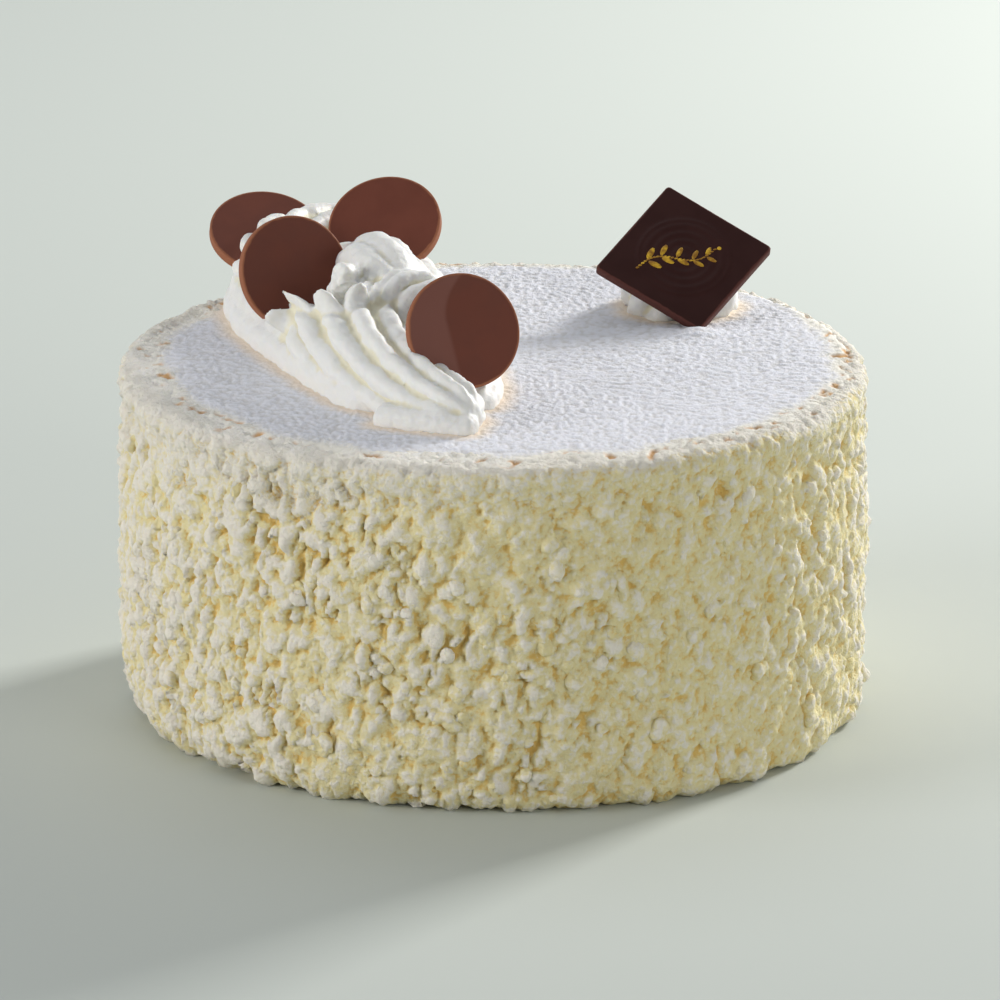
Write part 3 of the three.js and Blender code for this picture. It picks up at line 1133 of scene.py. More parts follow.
        lee = facing(angle, self.slot_toward)
        waver = uneven(Layer(Relief.WAVES, 14.0, 1.0))
        band = self.height - self.smooth_band
        calm = rising(z + waver * self.calm_waver, band + self.calm_from, band + self.calm_to)
        calm = calm * (1.0 - self.rugged_share * facing(angle, self.rugged_toward))
        pressed = np.clip(uneven(Layer(Relief.WAVES, 30.0, 1.0)), *self.pressed_range)
        pressed = self.pressed_least * (1.0 + pressed)
        strength = (1.0 - self.calm_flatter * calm) * pressed * self.evenness(angle)
        rise = self.lump_rises(angle, z) * self.lump_share * (1.0 - calm)
        on_top = rising(grid.up, *self.top_tilt)[:, None]
        edge = self.sugar_edge(flat).reshape(shape)
        crack = rim_cracks(flat, edge.ravel()).reshape(shape)
        height = rise + self.crushed(grid) * strength * (1.0 - self.top_flatter * on_top) + uneven(*self.fine)
        height = height + self.calm_rise * calm + self.wall_rise * (1.0 - on_top) - self.crack_depth * crack
        height = height - rising(-edge, *self.tuck_from) ** 2 * self.tuck_depth * on_top
        cover = (1.0 - calm) * (z > self.cover_from) * (z < band + self.calm_from)
        # Dust: sugar near the rim, and on the left side partly painted light.
        dust = rising(z + self.dust_and_light_left * lee + self.dust_waver * waver, *self.dust_from)
        dust = np.maximum(dust * (self.dust_and_light_share[0] + self.dust_and_light_share[1] * lee), sugar_share(edge))
        dust = dust + self.heap * lee * on_top * (1.0 - on_top * rising(-edge, *self.heap_ends))
        # Painted shade: a point lower than the relief around it gets the darker yellow of the crevices.
        pieces = height - rise * self.shade_tone_lumps
        shade_tone = self.shade_tone_middle + (pieces - blurred(pieces, self.shade_tone_blur)) / self.shade_tone_range
        # Painted light: paler on the left side; painted shade: darker and yellower on the front.
        shade_tone = shade_tone + self.painted_light_left * lee - self.painted_shade_front * facing(angle, self.front_toward) ** 2
        piece = self._closed(grid, grid.place(height, self.slip, self.undercut(angle, z)).reshape(-1, 3))
        pad = np.zeros(1 + self.columns)
        # The height stored here is the painted shade, not the shape.
        stored = {"cover": cover, "dust": dust, "height": np.clip(shade_tone, 0.0, 1.0), "crack": crack}
        for name, values in stored.items():
            store(piece.data, name, np.concatenate([pad, values.ravel(), pad]))
        return piece

    def _closed(self, grid: CoatGrid, points: np.ndarray) -> bpy.types.Object:
        """Closes the coat with a flat foot and an inner wall under the sugar.

        Args:
            grid: the coat's grid.
            points: its points at their heights, in millimetres.

        Returns:
            The coat.
        """

        def ring(radius: float, z: float) -> np.ndarray:
            """Gives a level ring round the middle."""
            x, y = radius * np.cos(grid.around), radius * np.sin(grid.around)
            return np.column_stack([x, y, np.full(self.columns, z)])

        ends = [[0.0, 0.0, 0.0]], [[0.0, 0.0, self.height - self.inner_sink]]
        closed = [ends[0], ring(self.foot_ring, 0.0), points, ring(*self.inner_ring), ends[1]]
        faces = skin_faces(len(grid.radius) + 2, self.columns)
        return mesh_object("coat", self.kept_inside(np.concatenate(closed) * MM), faces)

    def sugar_edge(self, points: np.ndarray) -> np.ndarray:
        """Works out how far each point lies outside the wavering edge of the sugar, in millimetres.

        Args:
            points: places in metres.

        Returns:
            The distance, below zero inside.
        """
        x, y, z = points.T / MM
        radius = np.hypot(x, y) + self.sugar_over * np.maximum(0.0, self.height - z)
        drift = self.sugar_drift * np.cos(np.arctan2(y, x) - self.sugar_toward)
        return radius - self.sugar_radius + drift + relief(points, self.sugar_waver) / MM

    def kept_inside(self, points: np.ndarray) -> np.ndarray:
        """Keeps points within the solid's reach and above the foot."""
        limit = self.outer_radius * MM
        radius = np.hypot(points[:, 0], points[:, 1])
        share = np.minimum(1.0, limit / np.maximum(radius, 1e-9))
        return np.column_stack([points[:, 0] * share, points[:, 1] * share, np.maximum(points[:, 2], 0.0)])


def sugar_share(edge: np.ndarray) -> np.ndarray:
    """Says how much sugar lies this far outside the sugar's edge, in millimetres: 1 inside to 0 outside."""
    return eased(rising(edge, 17.0, 1.0))


def rim_cracks(points: np.ndarray, edge: np.ndarray) -> np.ndarray:
    """Works out where short cracks run along the edge of the sugar.

    Args:
        points: places in metres.
        edge: how far each lies outside the sugar's edge, in millimetres.

    Returns:
        The depth of the crack at each point, 0 to 1.
    """
    radius = np.hypot(points[:, 0], points[:, 1])
    flat = points[:, :2] / np.maximum(radius, 1e-9)[:, None]
    long_way, short_way, around = 4.0, 2.7, 95.0
    drawn = np.column_stack([flat * around / long_way, edge / short_way])
    raw = np.array([noise.noise(Vector(point)) for point in drawn])
    middle, width, threshold, steepness, lowest = 0.8, 3.8, 0.22, 5.5, 88.0
    near = np.exp(-(((edge - middle) / width) ** 2))
    return np.clip((raw * near - threshold) * steepness, 0.0, 1.0) * (points[:, 2] > lowest * MM)


def warp(points: np.ndarray, size: float, reach: float) -> np.ndarray:
    """Gives a sideways shift for each point, so that round outlines become uneven.

    Args:
        points: places in millimetres.
        size: the size of one wave.
        reach: how far the shift goes.

    Returns:
        Two shifts for each point.
    """
    shifts = [noise.noise_vector(Vector(point) / size) for point in points]
    return np.array(shifts)[:, :2] * reach


@dataclass(frozen=True)
class CrumbKind:
    """One size of crumb: sizes in millimetres, and how it lies on the wall."""

    name: str
    spacing: float
    smallest: float
    largest: float
    detail: int
    sink: float
    roughen: float
    seed: int
    flatten: float = 0.72
    stretch: float = 1.25
    share: float = 1.0


class CrumbScatter:
    """The Geometry Nodes tree that scatters crumbs over a wall and makes each one uneven."""

    NUMBERS = ("Spacing", "Smallest", "Largest", "Sink", "Roughen", "Flatten", "Stretch", "Share")
    WHOLE = ("Detail", "Seed")
    BROAD = (0.75, 1.15)
    LEAST_TALL = 0.85
    LEAN = 0.5
    SPIN = 0.9

    def __init__(self) -> None:
        """Builds the tree."""
        group = bpy.data.node_groups.new("Scatter crumbs", "GeometryNodeTree")
        group.interface.new_socket("Geometry", in_out="INPUT", socket_type="NodeSocketGeometry")
        for name in self.NUMBERS:
            group.interface.new_socket(name, in_out="INPUT", socket_type="NodeSocketFloat")
        for name in self.WHOLE:
            group.interface.new_socket(name, in_out="INPUT", socket_type="NodeSocketInt")
        group.interface.new_socket("Material", in_out="INPUT", socket_type="NodeSocketMaterial")
        group.interface.new_socket("Geometry", in_out="OUTPUT", socket_type="NodeSocketGeometry")
        self.group = group
        self._lay_out(Tree(group))

    def _random(
        self, tree: Tree, low: object, high: object, seed: object, offset: int
    ) -> bpy.types.NodeSocket:
        """Makes a random number for each crumb."""
        own = tree.math("ADD", seed, float(offset))
        made = tree.node("FunctionNodeRandomValue", {"data_type": "FLOAT"}, Min=low, Max=high, Seed=own)
        return shown(made.outputs, "Value")

    def _lay_out(self, tree: Tree) -> None:
        """Makes the nodes and links them."""
        given = tree.node("NodeGroupInput").outputs
        seed = given["Seed"]
        cover = tree.node("GeometryNodeInputNamedAttribute", {"data_type": "FLOAT"}, Name="cover")
        spots = tree.node(
            "GeometryNodeDistributePointsOnFaces", {"distribute_method": "POISSON"}, Mesh=given["Geometry"]
        )
        tree.feed(spots, "Distance Min", given["Spacing"])
        tree.feed(spots, "Density Max", 2.0e6)
        share = tree.math("MULTIPLY", shown(cover.outputs, "Attribute"), given["Share"])
        tree.feed(spots, "Density Factor", share)
        tree.feed(spots, "Seed", seed)
        axes = {"axis": "Y", "pivot_axis": "Z"}
        upright = tree.node("FunctionNodeAlignRotationToVector", axes, Vector=(0.0, 0.0, 1.0))
        tree.feed(upright, "Rotation", spots.outputs["Rotation"])
        draw = self._random(tree, 0.0, 1.0, seed, 1)
        span = tree.math("SUBTRACT", given["Largest"], given["Smallest"])
        size = tree.math("MULTIPLY_ADD", tree.math("POWER", draw, 2.0), span, given["Smallest"])
        broad = tree.math("MULTIPLY", size, self._random(tree, *self.BROAD, seed, 2))
        tall = tree.math("MULTIPLY", size, self._random(tree, self.LEAST_TALL, given["Stretch"], seed, 3))
        thick = tree.math("MULTIPLY", size, given["Flatten"])
        scale = tree.node("ShaderNodeCombineXYZ", X=broad, Y=tall, Z=thick)
        depth = tree.math("MULTIPLY", tree.math("MULTIPLY", size, given["Sink"]), -1.0)
        inward = tree.node("ShaderNodeCombineXYZ", Z=depth)
        down = tree.node("FunctionNodeRotateVector", Rotation=spots.outputs["Rotation"])
        tree.feed(down, "Vector", inward.outputs["Vector"])
        sunk = tree.node("GeometryNodeSetPosition", Geometry=spots.outputs["Points"])
        tree.feed(sunk, "Offset", down.outputs["Vector"])
        ball = tree.node("GeometryNodeMeshIcoSphere", Radius=1.0, Subdivisions=given["Detail"])
        lay = tree.node("GeometryNodeInstanceOnPoints", Points=sunk.outputs["Geometry"])
        tree.feed(lay, "Instance", ball.outputs["Mesh"])
        tree.feed(lay, "Rotation", upright.outputs["Rotation"])
        tree.feed(lay, "Scale", scale.outputs["Vector"])
        lean = tree.node(
            "ShaderNodeCombineXYZ",
            X=self._random(tree, -self.LEAN, self.LEAN, seed, 4),
            Y=self._random(tree, -self.LEAN, self.LEAN, seed, 5),
            Z=self._random(tree, -self.SPIN, self.SPIN, seed, 6),
        )
        turn = tree.node("GeometryNodeRotateInstances", Instances=lay.outputs["Instances"])
        tree.feed(turn, "Rotation", lean.outputs["Vector"])
        real = tree.node("GeometryNodeRealizeInstances", Geometry=turn.outputs["Instances"])
        uneven = tree.node("ShaderNodeTexNoise", Scale=0.42 / MM, Detail=2.0)
        centred = tree.node("ShaderNodeVectorMath", {"operation": "SUBTRACT"})
        tree.feed(centred, 0, uneven.outputs["Color"])
        tree.feed(centred, 1, (0.5, 0.5, 0.5))
        push = tree.node("ShaderNodeVectorMath", {"operation": "SCALE"})
        tree.feed(push, 0, centred.outputs["Vector"])
        tree.feed(push, "Scale", given["Roughen"])
        rough = tree.node("GeometryNodeSetPosition", Geometry=real.outputs["Geometry"])
        tree.feed(rough, "Offset", push.outputs["Vector"])
        smooth = tree.node("GeometryNodeSetShadeSmooth")
        tree.feed(smooth, 0, rough.outputs["Geometry"])
        dress = tree.node("GeometryNodeSetMaterial", Geometry=smooth.outputs[0], Material=given["Material"])
        tree.node("NodeGroupOutput", Geometry=dress.outputs["Geometry"])

    def scatter(
        self, wall: bpy.types.Object, kind: CrumbKind, material: bpy.types.Material
    ) -> bpy.types.Object:
        """Scatters one kind of crumb.

        Args:
            wall: the wall to lie on.
            kind: the crumbs' sizes.
            material: their finish.

        Returns:
            The crumbs as one plain mesh.
        """
        piece = add_object(kind.name, wall.data.copy())
        modifier = piece.modifiers.new("crumbs", "NODES")
        modifier.node_group = self.group
        lengths = {"Spacing", "Smallest", "Largest", "Roughen"}
        values = {name: getattr(kind, name.lower()) for name in (*self.NUMBERS, *self.WHOLE)}
        values.update({name: values[name] * MM for name in lengths})
        values["Material"] = material
        for item in self.group.interface.items_tree:
            if item.in_out == "INPUT" and item.name in values:
                modifier[item.identifier] = values[item.name]
        bake_modifiers(piece)
        return piece


@dataclass
class MeringueCake:
    """The cake's body: the coat, its crumbs and the dusted top."""

    coat: Coat = field(default_factory=Coat)
    top_cells: int = 306
    top_radius: float = 95.5
    top_depth: float = 3.0
    grain_stretch: tuple[float, float, float] = (1.0, 0.75, 1.0)  # sugar swept in lines along Y
    fine: tuple[Layer, ...] = (Layer(Relief.GRAINS, 1.9, 0.18), Layer(Relief.WAVES, 1.3, 0.36))
    slow: tuple[Layer, ...] = (Layer(Relief.WAVES, 9.0, 0.35), Layer(Relief.WAVES, 48.0, 0.9))
    slow_share: float = 0.6
    grain_shade_range: float = 0.9
    lift: float = 0.75
    dip: Pair = (-8.0, 1.0)  # the sugar thins from here to there about its edge
    dip_depth: float = 0.45
    tuck_width: float = 4.0
    tuck_depth: float = 1.6
    side: Pair = (-8.0, 3.0)
    crack_depth: float = 0.6
    plaque_tip: Pair = (54.6, 24.8)  # sugar lies heaped where the plaque's corner digs in
    pile: Pair = (1.5, 5.0)  # height and reach of the heap
    boulder_sink: float = 2.2
    boulder_share: float = 0.75
    boulder_relief: tuple[Layer, ...] = (
        Layer(Relief.WAVES, 4.5, 2.6),
        Layer(Relief.GRAINS, 3.2, 0.9),
        Layer(Relief.GRAINS, 1.5, 0.25),
    )
    crumbs: tuple[CrumbKind, ...] = (CrumbKind("crumbs_medium", 7.5, 1.5, 2.9, 3, 0.5, 1.7, 5, share=0.45),)

    def build(self, groups: Groups) -> list[bpy.types.Object]:
        """Builds and dresses the body.

        Args:
            groups: the shared node groups.

        Returns:
            Its pieces: the coat, the crumbs and the top.
        """
        meringue = MeringueFinish().material(groups)
        coat = self.coat.build()
        coat.data.materials.append(meringue)
        scatter = CrumbScatter()
        pieces = [coat, self._boulders(meringue)]
        pieces += [scatter.scatter(coat, kind, meringue) for kind in self.crumbs]
        for piece in pieces[1:]:
            move_points(piece.data, self.coat.kept_inside(points_of(piece.data)))
            for name in ("dust", "crack"):
                store(piece.data, name, np.zeros(len(piece.data.vertices)))
        self._store_heights(pieces)
        top = self._top()
        top.data.materials.append(SugarFinish().material(groups))
        return [*pieces, top]

    def _boulders(self, material: bpy.types.Material) -> bpy.types.Object:
        """Builds the largest crumbs, where the solid has them.

        Args:
            material: their finish.

        Returns:
            The crumbs as one mesh.
        """
        work = bmesh.new()
        coat = self.coat
        draws = coat.draws
        for spot in coat.boulders:
            radius = coat.crumb_radii[0] + (coat.crumb_radii[1] - coat.crumb_radii[0]) * spot.size
            depth = radius * coat.crumb_depth
            spin = Matrix.Rotation(draws.next() * 3, 4, "Y") @ Matrix.Rotation(draws.next() * 3, 4, "X")
            wide = radius * (0.8 + 0.3 * draws.next()) * self.boulder_share
            tall = radius * (0.9 + 0.35 * draws.next()) * self.boulder_share
            drawn_in = float(coat.undercut(np.array([spot.angle]), np.array([spot.z]))[0])
            reach = coat.outer_radius - self.boulder_sink - depth - drawn_in
            place = (
                Matrix.Rotation(spot.angle, 4, "Z")
                @ Matrix.Translation(Vector((reach, 0, spot.z)) * MM)
                @ Matrix.Diagonal(Vector((depth, wide, tall, 1 / MM)) * MM)
                @ spin
            )
            bmesh.ops.create_icosphere(work, subdivisions=4, radius=1.0, matrix=place)
        piece = object_from("crumbs_large", work)
        piece.data.materials.append(material)
        points = points_of(piece.data)
        lift = relief(points, self.boulder_relief)
        move_points(piece.data, points + normals_of(piece.data) * lift[:, None])
        return piece

    def _store_heights(self, pieces: Sequence[bpy.types.Object]) -> None:
        """Stores for each point how high it stands out of the coat around it, 0 deep down to 1 on a crumb:
        the painted shade that the finish reads, darker and yellower where low.
        """
        cell, blur, reach, middle, top_shade_tone = 1.0, 2.6, 3.4, 0.42, 0.7
        columns, rows = round(TURN * self.coat.wall_radius / cell), round(self.coat.height / cell) + 1
        skyline = np.zeros((rows, columns))
        places = []
        for piece in pieces:
            points = points_of(piece.data) / MM
            turn = (np.arctan2(points[:, 1], points[:, 0]) / TURN) % 1.0
            column = np.minimum((turn * columns).astype(int), columns - 1)
            row = np.clip((points[:, 2] / cell).astype(int), 0, rows - 1)
            radius = np.hypot(points[:, 0], points[:, 1])
            np.maximum.at(skyline, (row, column), radius)
            places.append((row, column, radius))
        skyline = np.where(skyline < self.coat.foot_flat * 0.9, np.nan, skyline)
        level = blurred(skyline, blur / cell)
        for piece, (row, column, radius) in zip(pieces, places):
            if "height" in piece.data.attributes:
                continue
            # Painted shade: points deep among the crumbs get the darker colour, and points on the top one
            # even level.
            high = (radius - level[row, column]) / reach + middle
            on_top = points_of(piece.data)[:, 2] > (self.coat.height - 2.0) * MM
            store(piece.data, "height", np.where(on_top, top_shade_tone, np.clip(high, 0.0, 1.0)))

    def _top(self) -> bpy.types.Object:
        """Builds the sugar-dusted top, whose edge dips under the coat that comes over the rim.

        Returns:
            The top as a closed body that stores its height, side and cracks.
        """
        cells, coat = self.top_cells, self.coat
        grid = np.linspace(-1.0, 1.0, cells + 1)
        across, along = np.meshgrid(grid, grid)
        x, y = (self.top_radius * way for way in disc_from_square(across.ravel(), along.ravel()))
        size, low = cells + 1, coat.height - self.top_depth
        place = np.column_stack([x, y, np.full(len(x), coat.height)])
        corners = (0, 1, size + 1, size)
        faces = [
            tuple(row * size + i + corner for corner in corners) for row in range(cells) for i in range(cells)
        ]
        rim = list(range(cells))
        rim += [row * size + cells for row in range(cells)]
        rim += [cells * size + i for i in range(cells, 0, -1)]
        rim += [row * size for row in range(cells, 0, -1)]
        base, count = size * size, len(rim)
        under = np.column_stack([x[rim], y[rim], np.full(count, low)])
        points = np.concatenate([place, under, [[0.0, 0.0, low]]]) * MM
        faces += [(rim[i], base + i, base + (i + 1) % count, rim[(i + 1) % count]) for i in range(count)]
        faces += [(base + (i + 1) % count, base + i, base + count) for i in range(count)]
        piece = mesh_object("sugar_top", points, faces)
        self._roughen_top(piece, points)
        return piece

    def _roughen_top(self, piece: bpy.types.Object, place: np.ndarray) -> None:
        """Gives the top its grains and cracks, and stores what its finish reads."""
        coat = self.coat
        fine = relief(place * np.array(self.grain_stretch), self.fine)
        edge = coat.sugar_edge(place)
        crack = rim_cracks(place, edge)
        away = np.hypot(place[:, 0] / MM - self.plaque_tip[0], place[:, 1] / MM - self.plaque_tip[1])
        lift = self.lift + self.pile[0] * np.exp(-((away / self.pile[1]) ** 2)) - crack * self.crack_depth
        lift = lift - rising(edge, *self.dip) * self.dip_depth
        lift = lift - rising(edge, 0.0, self.tuck_width) ** 2 * self.tuck_depth
        lift = fine + relief(place, self.slow) * self.slow_share + lift * MM
        lift = lift * (place[:, 2] > (coat.height - 1.0) * MM)
        move_points(piece.data, coat.kept_inside(place + normals_of(piece.data) * lift[:, None]))
        # The stored height sets the painted shade in the hollows between the grains.
        store(piece.data, "height", np.clip(0.5 + fine / (self.grain_shade_range * MM), 0.0, 1.0))
        store(piece.data, "side", eased(rising(edge, *self.side)))
        store(piece.data, "crack", crack)


def stain_top(top: bpy.types.Object, pieces: Sequence[bpy.types.Object], reach: float) -> None:
    """Stains the sugar where cream lies on it.

    Args:
        top: the dusted top.
        pieces: the cream pieces.
        reach: how far the stain goes, in millimetres.
    """
    points = points_of(top.data)
    level = points[:, 2].max()
    feet = np.concatenate([points_of(piece.data) for piece in pieces])
    feet = feet[feet[:, 2] < level + 1.5 * MM]
    near = kdtree.KDTree(len(feet))
    for index, foot in enumerate(feet):
        near.insert(foot, index)
    near.balance()
    stain = np.zeros(len(points))
    for index in np.nonzero(points[:, 2] > level - 3 * MM)[0]:
        stain[index] = eased(max(0.0, 1.0 - near.find(points[index])[2] / MM / reach))
    store(top.data, "stain", stain)


def blurred(grid: np.ndarray, sigma: float) -> np.ndarray:
    """Blurs a grid that closes on itself from side to side, and skips its empty cells.

    Args:
        grid: rows of the coat from the foot up, NaN where nothing lies.
        sigma: the blur's width, in cells.

    Returns:
        The blurred grid.
    """
    reach = int(sigma * 3)
    weights = np.exp(-0.5 * (np.arange(-reach, reach + 1) / sigma) ** 2)
    total, share = np.nan_to_num(grid), (~np.isnan(grid)).astype(float)
    for axis in (0, 1):
        fresh_total, fresh_share = np.zeros_like(total), np.zeros_like(share)
        for offset, weight in zip(range(-reach, reach + 1), weights):
            if axis == 1:
                fresh_total += weight * np.roll(total, offset, axis=1)
                fresh_share += weight * np.roll(share, offset, axis=1)
            else:
                rows = np.clip(np.arange(len(total)) - offset, 0, len(total) - 1)
                fresh_total += weight * total[rows]
                fresh_share += weight * share[rows]
        total, share = fresh_total, fresh_share
    return total / np.maximum(share, 1e-9)


def disc_from_square(across: np.ndarray, along: np.ndarray) -> tuple[np.ndarray, np.ndarray]:
    """Lays a square grid evenly over a disc: each square ring becomes a round one.

    Args:
        across: places from -1 to 1.
        along: places from -1 to 1.

    Returns:
        The places on the disc of radius 1.
    """
    wide = np.abs(across) > np.abs(along)
    radius = np.where(wide, across, along)
    safe = np.where(np.abs(radius) < 1e-12, 1.0, radius)
    turn = np.where(wide, along / safe, across / safe) * math.pi / 4
    x = np.where(wide, radius * np.cos(turn), radius * np.sin(turn))
    y = np.where(wide, radius * np.sin(turn), radius * np.cos(turn))
    return x, y


# ---------------------------------------------------------------- piped cream


@dataclass(frozen=True)
class Stroke:
    """One stroke of the nozzle: points of its middle line as x, y, height over the cake and radius.

    Its mouth is where it begins. Slant is how much later its ridges begin on the side that slant_at names,
    in degrees about the line; jut is how far each ridge stands out of the mouth and hollow how deep the
    mouth is.
    """

    line: tuple[tuple[float, float, float, float], ...]
    twist: float = 0.0
    groove: float = 0.2
    ridges: int = 10
    start: float = 0.0
    ease: float = 1.0
    slant: float = 0.0
    slant_at: float = 90.0
    jut: float = 0.0
    hollow: float = 0.0
    lip: float = 0.0
    first: float = 0.0


ROPE_STROKES = {
    "left_skirt": Stroke(
        (
            (-56, 68, 4, 10),
            (-60.5, 48, 2, 12.5),
            (-54.5, 20, 0.5, 12.5),
            (-44, -8, 0, 12),
            (-33.5, -33, 0, 10.5),
            (-27, -47, -1, 8),
        ),
        twist=0.1,
        groove=0.05,
    ),
    "right_skirt": Stroke(
        (
            (-28, 70, 5, 10),
            (-25, 42, 6, 12.5),
            (-17, 14, 4.5, 11.5),
            (-9, -12, 2.5, 10),
            (-5, -34, 0, 8),
            (-5, -48, -1, 5.5),
        ),
        twist=-0.1,
        groove=0.06,
    ),
    "back_loop": Stroke(
        ((-22, 66, 9, 9), (-38, 72, 11, 12.5), (-54, 62, 12, 13), (-57, 44, 12, 12.5), (-44, 32, 10, 10)),
        twist=0.3,
        groove=0.26,
        jut=3.0,
        hollow=3.0,
    ),
    "middle_loop": Stroke(
        (
            (-46, 42, 9, 9),
            (-38, 34, 13, 11),
            (-29, 22, 15, 11.5),
            (-21, 7, 12, 10.5),
            (-13, -12, 6, 9),
            (-8, -26, 2, 7),
        ),
        twist=0.3,
        groove=0.14,
        start=0.05,
        ease=1.2,
    ),
    "dome": Stroke(
        (
            (-33, 36, 10, 8),
            (-32, 25, 18.5, 10),
            (-30, 12, 20.5, 10.5),
            (-27, 2, 16.5, 9.5),
            (-24, -6, 10, 8),
        ),
        twist=0.25,
        groove=0.12,
        ridges=7,
    ),
    "hook": Stroke(
        (
            (-10, -6, 22.5, 2.4),
            (-16, -9, 22.8, 2.9),
            (-21.5, -11.5, 21.5, 2.9),
            (-23.5, -13.5, 18, 2.8),
            (-21, -15.5, 14.5, 2.6),
            (-16, -17, 12, 2.2),
        ),
        groove=0.1,
        ridges=4,
    ),
    "curl": Stroke(
        (
            (-12, 0, 16.5, 4.2),
            (-18, -3, 21, 5.4),
            (-25.5, -6, 21.5, 5.8),
            (-29, -11, 15.5, 5.8),
            (-26.5, -16, 9.5, 5.3),
            (-20, -21, 6, 4.5),
        ),
        twist=0.1,
        groove=0.34,
        ridges=5,
        start=0.1,
        hollow=1.5,
    ),
    "front_tail": Stroke(
        (
            (-53, 31, 13, 14.3),
            (-46.5, 12, 12.5, 15.5),
            (-38, -11, 9, 15.5),
            (-28.5, -33, 6.5, 13.5),
            (-17, -51, 4.5, 10.8),
            (-4.5, -64, 3.5, 7),
        ),
        twist=-0.3,
        groove=0.28,
        start=0.03,
        ease=1.5,
        slant=50.0,
        slant_at=150.0,
        first=30.0,
        jut=4.4,
        hollow=3.4,
        lip=0.2,
    ),
    "ruffle": Stroke(
        (
            (-41, 1, 17, 2.4),
            (-41, 0, 19.4, 3.7),
            (-40.5, 0, 21.4, 2.7),
            (-40, -1, 23.2, 3.6),
            (-39.5, -1, 25, 2.5),
            (-39, -1, 26.8, 2.9),
            (-38.5, -1, 28, 1.5),
        ),
        twist=0.35,
        groove=0.3,
        ridges=7,
    ),
    "bead": Stroke(
        (
            (-34, -3, 17, 2.4),
            (-33, -4, 19.5, 3),
            (-32, -5, 21, 2.4),
            (-31.5, -5, 22.4, 2.6),
            (-31, -5, 23.6, 1.2),
        ),
        groove=0.12,
        ridges=5,
    ),
    "foot": Stroke(
        ((-29.5, -56.5, 1.6, 4.4), (-18, -62, 1.6, 4.7), (-4, -66.5, 1.4, 4.2)),
        groove=0.09,
        ridges=12,
    ),
}

# Where the rope's knobs are crinkled: x, y, height over the cake and reach.
ROPE_CRINKLES = ((-40.0, -0.5, 23.0, 9.0), (-31.5, -5.0, 20.0, 6.0))


def curve_points(knots: np.ndarray, count: int) -> np.ndarray:
    """Draws a smooth line through knots, with steps as even as the knots are.

    Args:
        knots: the knots, one row each.
        count: how many points to give.

    Returns:
        The line's points.
    """
    ends = np.concatenate([[2 * knots[0] - knots[1]], knots, [2 * knots[-1] - knots[-2]]])
    result = []
    for share in np.linspace(0.0, len(knots) - 1.0, count):
        start = min(int(share), len(knots) - 2)
        t = share - start
        a, b, c, d = ends[start : start + 4]
        result.append(
            0.5 * (2 * b + (c - a) * t + (2 * a - 5 * b + 4 * c - d) * t * t + (3 * b - a - 3 * c + d) * t**3)
        )
    return np.array(result)


